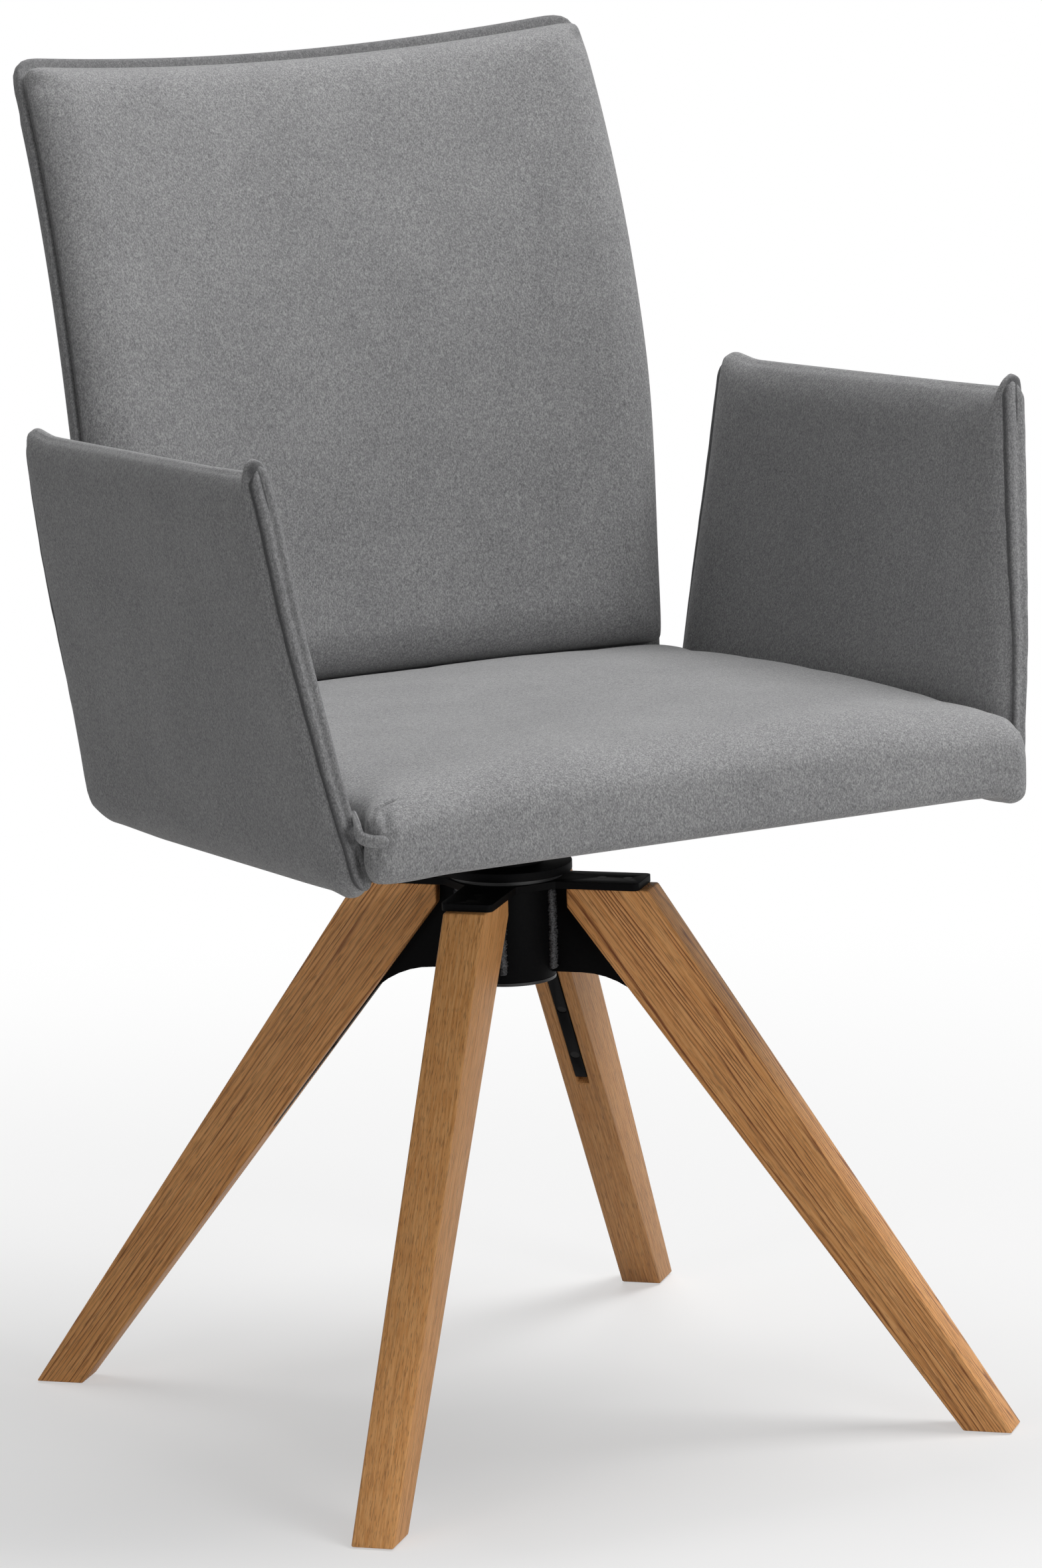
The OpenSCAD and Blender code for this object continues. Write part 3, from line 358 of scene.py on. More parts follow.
# Solid oak, planed and oiled: honey brown, straight growth lines with dark latewood and open pores.
oak = {"pale": "#f1b576", "middle": "#dc9a5a", "dark": "#834a24", "pore": "#54331a", "ring": 3.1, "wander": 26,
       "stripe": 1.1, "stretch": 0.03, "skew": 0.7, "taper": 0.018, "wanderWay": 34, "streakWay": 3,
       "latewood": [(0.0, 0), (0.5, 0.05), (0.74, 0.6), (0.86, 1), (1.0, 0)], "stripeStops": (0.34, 0.66),
       "markFrom": 0.36, "markTo": 0.62, "markLow": 0.15, "markHigh": 0.95, "poreWidth": 0.5, "poreLength": 11,
       "poreStops": (0.56, 0.68), "poreShare": 0.45, "relief": 0.3}
oiledOak, tree, shader = newMaterial("oiledOak", Roughness=0.5)
shader.inputs["Specular IOR Level"].default_value = 0.3
grain = addNode(tree, "Attribute", {"attribute_name": "grain"}).outputs["Vector"]
along = addNode(tree, "Mapping", {}, {"Vector": grain, "Scale": (1, oak["stretch"], 1)}).outputs[0]
wander = addNode(tree, "TexNoise", {}, {"Vector": along, "Scale": 1 / (oak["wander"] * mm), "Detail": 2.0}).outputs[0]
streak = addNode(tree, "TexNoise", {}, {"Vector": along, "Scale": 1 / (oak["ring"] * mm), "Detail": 4.0,
                                        "Roughness": 0.6}).outputs[0]
stripe = addNode(tree, "TexNoise", {}, {"Vector": along, "Scale": 1 / (oak["stripe"] * mm), "Detail": 2.0}).outputs[0]
across = addNode(tree, "SeparateXYZ", {}, {0: grain}).outputs
rings = across[0]
for source, share in ((across[2], oak["skew"]), (across[1], oak["taper"]), (wander, oak["wanderWay"] * mm),
                      (streak, oak["streakWay"] * mm)):
    rings = multiplyAdd(tree, source, share, rings)
rings = addNode(tree, "Math", {"operation": "DIVIDE"}, {0: rings, 1: oak["ring"] * mm}).outputs[0]
rings = addNode(tree, "Math", {"operation": "FRACT"}, {0: rings}).outputs[0]
latewood = addNode(tree, "ValToRGB", {"stops": [(place, (share,) * 3 + (1,)) for place, share in oak["latewood"]]},
                   {"Fac": rings}).outputs[0]
stops = [(place, linear(oak[word])) for place, word in zip(oak["stripeStops"], ("middle", "pale"))]
earlywood = addNode(tree, "ValToRGB", {"stops": stops}, {"Fac": stripe}).outputs[0]
marked = addNode(tree, "MapRange", {}, {"Value": streak, 1: oak["markFrom"], 2: oak["markTo"], 3: oak["markLow"],
                                        4: oak["markHigh"]}).outputs[0]
marked = addNode(tree, "Math", {"operation": "MULTIPLY"}, {0: marked, 1: latewood}).outputs[0]
figure = addNode(tree, "Attribute", {"attribute_name": "figure"}).outputs["Fac"]
marked = addNode(tree, "Math", {"operation": "MULTIPLY"}, {0: marked, 1: figure}).outputs[0]
wood = addNode(tree, "Mix", {"data_type": "RGBA"}, {0: marked, 6: earlywood, 7: linear(oak["dark"])}).outputs[2]
poreSpace = addNode(tree, "Mapping", {}, {"Vector": grain,
                                          "Scale": (1, oak["poreWidth"] / oak["poreLength"], 1)}).outputs[0]
pores = addNode(tree, "TexNoise", {}, {"Vector": poreSpace, "Scale": 1 / (oak["poreWidth"] * mm),
                                       "Detail": 1.0}).outputs[0]
stops = [(oak["poreStops"][0], (0, 0, 0, 1)), (oak["poreStops"][1], (1, 1, 1, 1))]
pores = addNode(tree, "ValToRGB", {"stops": stops}, {"Fac": pores}).outputs[0]
poreWeight = addNode(tree, "Math", {"operation": "MULTIPLY"}, {0: pores, 1: oak["poreShare"]}).outputs[0]
wood = addNode(tree, "Mix", {"data_type": "RGBA"}, {0: poreWeight, 6: wood, 7: linear(oak["pore"])}).outputs[2]
# Per-leg tone: partly the leg's own wood, partly painted light and shade.
tone = addNode(tree, "Attribute", {"attribute_name": "tone"}).outputs["Fac"]
wood = addNode(tree, "VectorMath", {"operation": "SCALE"}, {0: wood, "Scale": tone}).outputs[0]
tree.links.new(wood, shader.inputs["Base Color"])
height = multiplyAdd(tree, pores, -1.0, latewood)
relief = addNode(tree, "Bump", {}, {"Strength": 0.35, "Distance": oak["relief"] * mm, "Height": height}).outputs[0]
tree.links.new(relief, shader.inputs["Normal"])


def speckled(name, low, high, grainSize, roughness, depth, **sockets):  # a finish with fine grain in it
    material, tree, shader = newMaterial(name, Roughness=roughness, **sockets)
    coords = addNode(tree, "TexCoord").outputs["Object"]
    specks = addNode(tree, "TexNoise", {}, {"Vector": coords, "Scale": 1 / (grainSize * mm), "Detail": 3.0}).outputs[0]
    colour = addNode(tree, "ValToRGB", {"stops": [(0.35, linear(low)), (0.65, linear(high))]},
                     {"Fac": specks}).outputs[0]
    tree.links.new(colour, shader.inputs["Base Color"])
    relief = addNode(tree, "Bump", {}, {"Strength": 0.4, "Distance": depth * mm, "Height": specks}).outputs[0]
    tree.links.new(relief, shader.inputs["Normal"])
    return material


# Steel, powder coated black: satin, with the faint orange peel of the baked powder.
powderBlack = speckled("powderCoatedSteel", "#060607", "#0a0a0b", 1.8, 0.58, 0.05, Specular_IOR_Level=0.05)
# Weld bead under the same powder: rough, with lighter grey specks painted in as the highlights it catches.
weldBlack = speckled("powderCoatedWeld", "#141415", "#5c5c5e", 1.1, 0.42, 0.5, Specular_IOR_Level=0.25)
# Wood screws, steel with a black oxide coat: a little duller and browner than the powder.
oxideBlack = speckled("blackOxideScrew", "#080707", "#110f0e", 0.9, 0.5, 0.05, Specular_IOR_Level=0.15)
# Zinc plated steel: bright, slightly cloudy.
zincBright = speckled("zincPlatedSteel", "#a9acae", "#c4c6c7", 2.0, 0.28, 0.02, Metallic=1.0)
# Turned brass insert nuts.
turnedBrass = speckled("turnedBrass", "#b08d45", "#c8a65c", 1.0, 0.3, 0.03, Metallic=1.0)
# Acetal bushes, moulded black: waxy.
acetalBlack = speckled("mouldedAcetal", "#0c0c0d", "#131314", 3.0, 0.5, 0.02)
# Polyethylene glides and tube cap, moulded, fine spark texture.
glideGrey = speckled("mouldedGlide", "#3b3b3c", "#4a4a4b", 0.8, 0.5, 0.04)
capBlack = speckled("mouldedCap", "#111112", "#19191a", 0.8, 0.45, 0.04)
# Birch plywood, sanded; beech rails, planed; cold-cure foam; spun-bond underside cloth.
birchPly = speckled("sandedBirchPly", "#c9ab7c", "#dcc195", 2.2, 0.6, 0.1)
planedBeech = speckled("planedBeech", "#c59e70", "#d6b184", 1.6, 0.55, 0.1)
seatFoam = speckled("coldCureFoam", "#d8cfa6", "#e9e2c0", 0.9, 0.95, 0.3)
spunCloth = speckled("spunBondCloth", "#141415", "#232324", 1.2, 0.9, 0.2)

nodeFinish = {
    powderBlack: ["column_tube", "cross_plate", "swivel_hub", "seat_plate", "bracket_front_left",
                  "bracket_front_right", "bracket_rear_left", "bracket_rear_right"],
    weldBlack: ["weld_beads"], oxideBlack: ["plate_screws", "leg_screws", "retaining_ring"],
    zincBright: ["spindle", "spindle_washer", "plate_bolts", "tee_nuts", "arm_bolts", "back_bolts"],
    turnedBrass: ["insert_nuts"], acetalBlack: ["upper_bush", "lower_bush"], glideGrey: ["glides"],
    capBlack: ["column_cap"], birchPly: ["seat_board", "back_board", "arm_board_left", "arm_board_right"],
    planedBeech: ["rail_front", "rail_rear", "rail_left", "rail_right"],
    seatFoam: ["seat_foam", "back_foam", "arm_foam_left", "arm_foam_right"], spunCloth: ["dust_cover"],
}
for material, names in nodeFinish.items():
    for name in names:
        nodes[name].data.materials.clear()
        nodes[name].data.materials.append(material)
print("chair: materials done")


def paintShade(piece, shares):  # painted shade in seams, creases and along rims, from 0 to 1 at each point, by which the felt darkens
    tuck = piece.data.attributes.new("tuck", "FLOAT", "POINT")
    tuck.data.foreach_set("value", np.clip(shares, 0, 1).astype(np.float32))


def finishPiece(piece, material, body, replaced=()):
    piece.data.materials.clear()
    piece.data.materials.append(material)
    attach(piece, body)
    if replaced:
        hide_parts(*replaced)


# Seat: a crowned cushion, flat below, that falls to its front edge and is pulled into the arms.
cushion = {"voxel": 6, "pressure": 4, "cap": 5, "start": 1.5, "hem": 2, "belt": 20, "shoulder": 50, "beltShare": 0.3,
           "endCrown": 0.35, "crownFrom": 25, "recess": 2, "recessEdge": 7, "recessHalf": 176, "recessFront": -239,
           "recessRear": 108}


def cushionShare(points):  # how freely the cushion fills: held at the hem, free above
    z = points[:, 2]
    low = cushion["beltShare"] * ramp(z, cushion["hem"], cushion["belt"])
    high = cushion["beltShare"] + (1 - cushion["beltShare"]) * ramp(z, cushion["belt"], cushion["shoulder"])
    return np.where(z < cushion["belt"], low, high)


def domed(way):  # how far a crown has risen at this way in from the edge
    return 1 - (1 - np.clip((way - seat["round"]) / (seat["dome"] - seat["round"]), 0, 1)) ** 2


s = cushion["start"]
seatCushion = softBlock("seatCushion", (s - seat["half"], seat["front"] + s, 0),
                        (seat["half"] - s, seat["rear"] - s, seat["height"] - s), seat["corner"], seat["round"],
                        seat["draw"])
swell(seatCushion, cushion["voxel"], cushion["pressure"], cushion["cap"], cushionShare)
points = readPoints(seatCushion)
x, y, z = points.T
crown = domed(np.minimum(y - seat["front"], seat["rear"] - y))
crown = seat["crown"] * domed(seat["half"] - np.abs(x)) * (cushion["endCrown"] + (1 - cushion["endCrown"]) * crown)
points[:, 2] += crown * ramp(z, cushion["crownFrom"], seat["height"])
inside = np.minimum(cushion["recessHalf"] - np.abs(x),
                    np.minimum(y - cushion["recessFront"], cushion["recessRear"] - y))
points[:, 2] = np.maximum(z, cushion["recess"] * ramp(inside, 0, cushion["recessEdge"]))
writePoints(seatCushion, placeSeat(points))

# Creases where the strap pulls the seat's right front corner: places in its frame, depth, width and the darkness of the
# shade painted along them.
creases = [([(-240.6, -271, 37.7), (-239.8, -270.3, 40.4), (-237.9, -268.8, 43.4), (-235.3, -267.7, 45.9),
             (-232.3, -267.6, 47.6), (-228.5, -266.7, 49.1), (-224.2, -265.9, 50.1), (-218.3, -265.8, 51.5)],
            1.7, 1.5, 0.6),
           ([(-230, -274, 45.1), (-232.4, -277.5, 40.4), (-235, -280.7, 32.7)], 1.5, 2.6, 0.25),
           ([(-239.5, -277.5, 23.7), (-240.2, -277.1, 20.4), (-240.2, -278.1, 18), (-239.3, -279.3, 15.6),
             (-237.8, -280.2, 13), (-235.7, -280.7, 10.3)], 1.9, 1.5, 0.7),
           ([(-235.5, -281.4, 22.4), (-236.3, -281.3, 17.5)], 0.9, 1.8, 0.25)]
creased = {"x": -207, "y": -252, "past": 2, "cuts": 3, "marks": 60, "fade": 5, "startShare": 1.5, "endShare": 0.5,
           "ridge": 0.35, "ridgeWay": 2.4, "shadeWidth": 0.6}
pick(seatCushion, "FACE", lambda face: face.calc_center_median().x < creased["x"] * mm
     and face.calc_center_median().y < creased["y"] * mm)
bpy.ops.mesh.subdivide(number_cuts=creased["cuts"])
activate(seatCushion)
points, outward = readPoints(seatCushion), readNormals(seatCushion)
depth, shade = np.zeros(len(points)), np.zeros(len(points))
near = np.flatnonzero((points[:, 0] < creased["x"] + creased["past"]) & (points[:, 1] < creased["y"] + creased["past"]))
for places, deep, width, dark in creases:
    places = fromSeatFrame(*np.array(places, float).T)
    lengths = np.concatenate(([0], np.cumsum(np.linalg.norm(np.diff(places, axis=0), axis=1))))
    marks = np.linspace(0, lengths[-1], creased["marks"])
    line = np.stack([np.interp(marks, lengths, places[:, axis]) for axis in range(3)], axis=1)
    gaps = np.linalg.norm(points[near, None] - line[None], axis=2)
    share = np.minimum(marks + creased["startShare"], lengths[-1] - marks + creased["endShare"]) / creased["fade"]
    share = np.minimum(1, share)[gaps.argmin(axis=1)]
    gap = gaps.min(axis=1)
    ridge = creased["ridge"] * bump(gap, creased["ridgeWay"] * width, width)
    depth[near] += share * deep * (bump(gap, 0, width) - ridge)
    shade[near] = np.maximum(shade[near], share * dark * bump(gap, 0, creased["shadeWidth"] * width))
writePoints(seatCushion, points - outward * depth[:, None])
# The creases' painted shade darkens the felt along them.
paintShade(seatCushion, shade)
smooth(seatCushion)
finishPiece(seatCushion, greyFelt, seatUnit, ("seat_cover", "seat_foam"))
print("chair: seat done")

# Back: a thin shell whose edge shows as a band, and a pad sewn into it.
# hem and side set painted shade: a darker top rim band and darker sides.
shellLook = {"columns": 32, "rows": 36, "frontRound": 4, "rearRound": 10, "hem": 0.42, "side": 0.12}
# The sewn corners stand out above a pinch, and the sides come in a little below, more on the sitter's left.
cornerPulls = [{"way": 0.9, "aboutDrop": (16, 9), "wide": (200, 214)},
               {"way": 1.4, "aboutDrop": (31, 5), "wide": (206, 216)}]
sidePulls = [{"way": 4.2, "x": (150, 210), "rise": (270, 110)}, {"way": 1.4, "x": (-150, -210), "rise": (270, 110)}]


def roundCorners(points, half, low, high, radius):  # squeezes a square grid's corners into arcs
    x, y = points[:, 0], points[:, 1]
    centreX = np.sign(x) * (half - radius)
    centreY = np.where(y > (low + high) / 2, high - radius, low + radius)
    dx, dy = x - centreX, y - centreY
    outside = (np.abs(x) > half - radius) & ((y > high - radius) | (y < low + radius))
    reach = np.maximum(np.abs(dx), np.abs(dy)) / np.maximum(np.hypot(dx, dy), 1e-9)
    x[outside] = (centreX + dx * reach)[outside]
    y[outside] = (centreY + dy * reach)[outside]


half, low, high = back["half"] - back["inset"], back["low"], back["top"] + back["full"]
deselect()
bpy.ops.mesh.primitive_grid_add(x_subdivisions=shellLook["columns"], y_subdivisions=shellLook["rows"], size=1)
bpy.ops.transform.resize(value=(2 * half * mm, (high - low) * mm, 1))
bpy.ops.transform.translate(value=(0, (low + high) / 2 * mm, (back["band"] - back["shell"]) * mm))
backShell = named("backShell")
pick(backShell, "FACE", lambda face: True)
bpy.ops.mesh.extrude_region_move(TRANSFORM_OT_translate={"value": (0, 0, back["shell"] * mm)})
activate(backShell)
points = readPoints(backShell)
roundCorners(points, half, low, high, back["corner"])
writePoints(backShell, points)
for depth, radius in ((back["band"], shellLook["frontRound"]), (back["band"] - back["shell"], shellLook["rearRound"])):
    pick(backShell, "EDGE", lambda edge: all(abs(v.co.z - depth * mm) < 1e-5 for v in edge.verts)
         and len(edge.link_faces) == 2 and abs(edge.calc_face_angle(0)) > 1)
    bpy.ops.mesh.bevel(offset=radius * mm, segments=5, affect="EDGES")
faceOut(backShell)
change(backShell, "SUBSURF", levels=1, render_levels=1)
points = readPoints(backShell)
x, rise, depth = points.T
places = {"x": x, "wide": np.abs(x), "rise": rise, "drop": high - rise}
points[:, 0] -= np.sign(x) * (pulled(places, cornerPulls) + pulled(places, sidePulls))
writePoints(backShell, placeBack(points))
# Painted shade on the shell's top rim band and along its sides.
paintShade(backShell, shellLook["hem"] * ramp(high - rise, 12, 6) * ramp(back["band"] - depth, 6, 1)
       + shellLook["side"] * ramp(half - np.abs(x), 9, 3))
smooth(backShell)
finishPiece(backShell, greyFelt, seatUnit, ("back_cover",))

padLook = {"voxel": 6, "pressure": 4, "cap": 3, "edge": 0.22, "soft": 34, "softTop": 20, "round": (9, 6, 3),
           "sunk": 6, "under": 2, "free": 24, "freeDepth": 8}
padTucks = [{"way": 0.12, "aboutSide": (9, 9), "aboutDrop": (13, 8)}]
padShades = [{"way": 0.8, "edge": (0.035, 0)}, {"way": 0.25, "aboutSide": (7, 6), "aboutDrop": (10, 6)}]
start = back["band"] + back["gap"]
padSide, padTop = half - back["sideBand"], high - back["topBand"]
backPad = softBlock("backPad", (-padSide, back["padLow"], start - padLook["sunk"]),
                    (padSide, padTop, start + back["padThick"] - padLook["under"]), *padLook["round"])
swell(backPad, padLook["voxel"], padLook["pressure"], padLook["cap"],
      lambda p: ramp(np.minimum(padSide - np.abs(p[:, 0]), padTop - p[:, 1]), 0, padLook["free"])
      * ramp(p[:, 2] - start, 0, padLook["freeDepth"]))
points = readPoints(backPad)
x, rise, depth = points.T
way = np.minimum((padSide - np.abs(x)) / padLook["soft"],
                 np.minimum((padTop - rise) / padLook["softTop"], (rise - back["padLow"]) / padLook["soft"]))
way = np.clip(way, 0, 1)
share = padLook["edge"] + (1 - padLook["edge"]) * np.sqrt(np.clip(1 - (1 - way) ** 2, 0, 1))
places = {"x": x, "rise": rise, "side": padSide - np.abs(x), "drop": padTop - rise, "edge": way}
share -= pulled(places, padTucks)
points[:, 0] -= np.sign(x) * pulled(places, sidePulls)
points[:, 2] = np.where(depth > start, start + (depth - start) * share, depth)
writePoints(backPad, placeBack(points))
# Painted shade towards the pad's rims and at its top corners.
paintShade(backPad, pulled(places, padShades))
smooth(backPad)
finishPiece(backPad, greyFelt, seatUnit, ("back_pad_cover", "back_foam"))
print("chair: back done")

# Arms: a flat panel folded over the top, closed down both ends by a strip between two seams.
armLook = {"voxel": 4.5, "pressure": 4, "cap": 3, "start": 10, "round": (11, 5, 5), "endGap": 2.5, "lowPuff": (1.6, 6),
           "topPuff": 1.15, "seamShade": 0.75, "seamWidth": 2.4}
# How the sewn arm departs from a flat one: an ear at its front top, a slack hem, then lifted corners below.
panelEar = [{"way": 10, "rise": (222, 256), "run": (400, 414)}, {"way": -3, "rise": (40, 0), "run": (370, 405)}]
panelCorners = [{"way": 8, "rise": (34, 0), "run": (34, 0)}, {"way": 10, "rise": (34, 0), "run": (390, 421)}]
armRuns = {1: [{"way": -5.2 * 0.35, "run": (60, 0)}, {"way": -5.2 * 0.65, "run": (60, 0), "rise": (40, 160)},
               {"way": -1.5, "run": (30, 0)}],
           -1: [{"way": -5.2 * 0.35, "run": (60, 0)}, {"way": -5.2 * 0.65, "run": (60, 0), "rise": (40, 160)},
                {"way": 3, "run": (30, 0), "rise": (225, 262)}]}
armRises = {1: [{"way": 3.8, "run": (45, 5), "rise": (200, 250)}, {"way": 4.2, "run": (300, 400), "rise": (60, 0)}],
            -1: [{"way": 3.8, "run": (45, 5), "rise": (200, 250)}, {"way": -1.9, "run": (30, 120), "rise": (60, 0)}]}
armDepths = {1: [{"way": 2.2, "aboutRise": (180, 75), "run": (260, 20)},
                 {"way": -4, "run": (330, 415), "rise": (110, 20)}],
             -1: [{"way": 2.2, "aboutRise": (180, 75), "run": (260, 20)},
                  {"way": -3.6, "run": (330, 415), "rise": (150, 250)},
                  {"way": -2.4, "run": (330, 415), "rise": (80, 0)}]}
panel = softBlock("armPanel", (armLook["endGap"], 0, -armLook["start"]),
                  (arm["footLength"] - armLook["endGap"], arm["crest"], armLook["start"]), *armLook["round"])
swell(panel, armLook["voxel"], armLook["pressure"], armLook["cap"])
flatPanel = readPoints(panel)
run, rise, depth = flatPanel.T
ends = np.minimum(run - armLook["endGap"], arm["footLength"] - armLook["endGap"] - run)
tall = np.minimum(rise * armLook["lowPuff"][0] + armLook["lowPuff"][1], (arm["crest"] - rise) * armLook["topPuff"])
way = np.clip(np.minimum(ends, tall) / arm["puff"], 0, 1)
thin = arm["halfEdge"] / arm["halfThick"]
share = thin + (1 - thin) * np.sqrt(np.clip(1 - (1 - way) ** 2, 0, 1))
seamWay = np.clip(arm["footLength"] - armLook["endGap"] - run, 0, None)
flatPanel[:, 2] = depth * share
for pulls in (panelEar, panelCorners):
    flatPanel[:, 1] += pulled({"run": run, "rise": rise}, pulls)


def shapeArm(points, side):
    places = {"run": points[:, 0], "rise": points[:, 1]}
    return points + np.stack([pulled(places, pulls[side]) for pulls in (armRuns, armRises, armDepths)], axis=1)


panels = {1: panel, -1: panel.copy()}
panels[-1].data = panel.data.copy()
scene.collection.objects.link(panels[-1])
for side, word in ((1, "Left"), (-1, "Right")):
    piece = panels[side]
    piece.name = piece.data.name = "armPanel" + word
    writePoints(piece, placeArm(shapeArm(flatPanel, side), side))
    if side > 0:  # the way to the left arm's place mirrors the flat panel
        piece.data.flip_normals()
    # Painted shade along each panel's front seam.
    paintShade(piece, armLook["seamShade"] * bump(seamWay, 0, armLook["seamWidth"]))
    smooth(piece)
    low = word.lower()
    finishPiece(piece, greyFelt, seatUnit, ("arm_cover_" + low, "arm_foam_" + low))

strip = {"halfTop": 7.6, "halfLow": {1: 4.8, -1: 6.6}, "taper": (40, 220), "proud": 3.4, "sunk": 5, "steps": 96,
         "cuts": 18, "over": {"Front": 8, "Rear": -4}, "under": {"Front": -2.5, "Rear": -7}, "tipTop": 12, "tipLow": 10,
         "welt": 0.7, "weltAt": 3.6, "weltWidth": 2.0, "groove": 0.6, "grooveWidth": 2.2, "ear": 6, "earSpan": 18,
         "earDepth": (-3, 7), "wave": ((0.25, 5.3), (0.2, 3.1)), "shade": {1: 0.12, -1: 0.28}, "seamShade": 0.6}
for side, word in ((1, "Left"), (-1, "Right")):
    for end, place in ((1, "Front"), (0, "Rear")):
        deselect()
        bpy.ops.mesh.primitive_grid_add(x_subdivisions=strip["cuts"], y_subdivisions=strip["steps"], size=2)
        piece = named("armStrip" + place + word)
        pick(piece, "FACE", lambda face: True)
        bpy.ops.mesh.extrude_region_move(TRANSFORM_OT_translate={"value": (0, 0, -1)})
        activate(piece)
        across, along, layer = (readPoints(piece) * mm).T
        low, high = -strip["under"][place], arm["crest"] + strip["over"][place]
        rise = low + (high - low) * (along + 1) / 2
        tip = np.minimum((rise - low) / strip["tipLow"], (high - rise) / strip["tipTop"])
        halfFoot = strip["halfLow"][side]
        narrow = np.sqrt(np.clip(1 - (1 - np.clip(tip, 0, 1)) ** 2, 0.02, 1))
        depth = across * (halfFoot + (strip["halfTop"] - halfFoot) * ramp(rise, *strip["taper"])) * narrow
        wave = sum(share * np.sin(rise / length + start)
                   for (share, length), start in zip(strip["wave"], (side, 2 * end)))
        proud = strip["proud"] * np.sqrt(np.clip(1 - np.abs(across) ** 3, 0, 1)) * (0.4 + 0.6 * narrow)
        proud += (strip["welt"] * bump(np.abs(depth), strip["weltAt"], strip["weltWidth"])
                  - strip["groove"] * bump(depth, 0, strip["grooveWidth"])) * narrow
        proud += 0.25 * wave * bump(np.abs(depth), 4, 2)
        out = np.where(layer > -0.5, proud, -strip["sunk"])
        edge = armLook["endGap"] + 0.6
        run = arm["footLength"] - edge + out if end else edge - out
        rise = rise - end * strip["ear"] * ramp(depth, *strip["earDepth"]) * ramp(high - rise, strip["earSpan"], 0)
        flat = np.stack((run, rise, depth + 0.3 * wave), axis=1)
        writePoints(piece, placeArm(shapeArm(flat, side), side))
        faceOut(piece)
        # Painted shade: a little over the whole strip, more on the right arm, more towards both seams, and full on its
        # back.
        paintShade(piece, strip["shade"][side]
               + strip["seamShade"] * np.where(layer > -0.5, ramp(np.abs(across), 0.8, 1.0), 1))
        change(piece, "SUBSURF", levels=1, render_levels=1)
        smooth(piece)
        finishPiece(piece, greyFelt, seatUnit,
                    ("arm_strip_" + place.lower() + "_" + word.lower(),))
print("chair: arms done")

# Strap: a stuffed fabric loop that comes out beside the right arm and ends in a tuck of the seat's corner.
tab = {"route": [(-240, -248, 42), (-242, -254, 40.5), (-245.5, -263, 38), (-248, -268.5, 34.5), (-248.7, -272, 30.8),
                 (-245, -276.4, 28.7), (-241, -281, 28.3), (-237.5, -283.5, 28.2), (-235, -284.4, 28.2)],
       "middle": (-226, -262), "narrow": 2.6, "wide": 4.3, "widens": (0.05, 0.65), "thick": 2.3, "under": 0.8,
       "tip": 4.5, "steps": 48, "cuts": 10, "marks": 200, "evenings": 120, "shade": 0.5}
deselect()
bpy.ops.mesh.primitive_grid_add(x_subdivisions=tab["steps"], y_subdivisions=tab["cuts"], size=2)
seatStrap = named("seatStrap")
pick(seatStrap, "FACE", lambda face: True)
bpy.ops.mesh.extrude_region_move(TRANSFORM_OT_translate={"value": (0, 0, -1)})
activate(seatStrap)
along, across, layer = (readPoints(seatStrap) * mm).T
route = np.array(tab["route"])
marks = np.linspace(0, len(route) - 1, tab["marks"])
line = np.stack([np.interp(marks, range(len(route)), route[:, axis]) for axis in range(3)], axis=1)
for evening in range(tab["evenings"]):
    line[1:-1] = (line[:-2] + 2 * line[1:-1] + line[2:]) / 4
gone = np.concatenate(([0], np.cumsum(np.linalg.norm(np.diff(line, axis=0), axis=1))))
place = (along + 1) / 2 * gone[-1]
centre = np.stack([np.interp(place, gone, line[:, axis]) for axis in range(3)], axis=1)
ahead = np.stack([np.interp(place, gone, np.gradient(line[:, axis], gone)) for axis in range(3)], axis=1)
ahead /= np.linalg.norm(ahead, axis=1)[:, None]
outward = centre - np.array(tab["middle"] + (0,)) * (1, 1, 0)
outward[:, 2] = 0
outward -= ahead * np.sum(outward * ahead, axis=1)[:, None]
outward /= np.linalg.norm(outward, axis=1)[:, None]
tip = np.sqrt(np.clip(1 - (1 - np.clip((gone[-1] - place) / tab["tip"], 0, 1)) ** 2, 0.03, 1))
wide = across * (tab["narrow"] + (tab["wide"] - tab["narrow"]) * ramp(place / gone[-1], *tab["widens"])) * tip
curve = np.sqrt(np.clip(1 - across ** 2, 0, 1))
out = np.where(layer > -0.5, tab["thick"] * curve * (0.3 + 0.7 * tip), -tab["thick"] * curve * tab["under"])
points = centre + np.cross(ahead, outward) * wide[:, None] + outward * out[:, None]
writePoints(seatStrap, fromSeatFrame(*points.T))
faceOut(seatStrap)
# Painted shade along the strap's edges.
paintShade(seatStrap, tab["shade"] * ramp(np.abs(across), 0.86, 1.0))
change(seatStrap, "SUBSURF", levels=1, render_levels=1)
smooth(seatStrap)
finishPiece(seatStrap, greyFelt, seatUnit, ("seat_strap",))

# Legs: tapered oak, cut level at foot and top, with a slot along the inner face for the bracket.
leg = {"footIn": (309, 1), "footOut": (342, 1), "topOut": (101, 360.5), "nose": (45, 347.5), "top": 360.5,
       "thick": 28.5, "slotWidth": 8.4, "slotDepth": 14.2, "slotPast": 60, "slotOut": 2, "slotEnd": 211, "ease": 1.3,
       "grainStep": 140,
       "corners": {"front_left": -45, "front_right": -135, "rear_left": 45, "rear_right": 135},
       "figure": {"front_left": 1.5, "front_right": 0.3, "rear_left": 0.5, "rear_right": 1.2},
       # tone makes each leg's wood lighter or darker: partly its own wood, partly painted light and shade for how lit
       # each leg is.
       "tone": {"front_left": 1, "front_right": 1.03, "rear_left": 0.72, "rear_right": 1.14}}
nose, footIn = Vector(leg["nose"]), Vector(leg["footIn"])
faceDir = (footIn - nose).normalized()
faceIn = Vector((-faceDir.y, faceDir.x))
topIn = nose + faceDir * (leg["top"] - nose.y) / faceDir.y


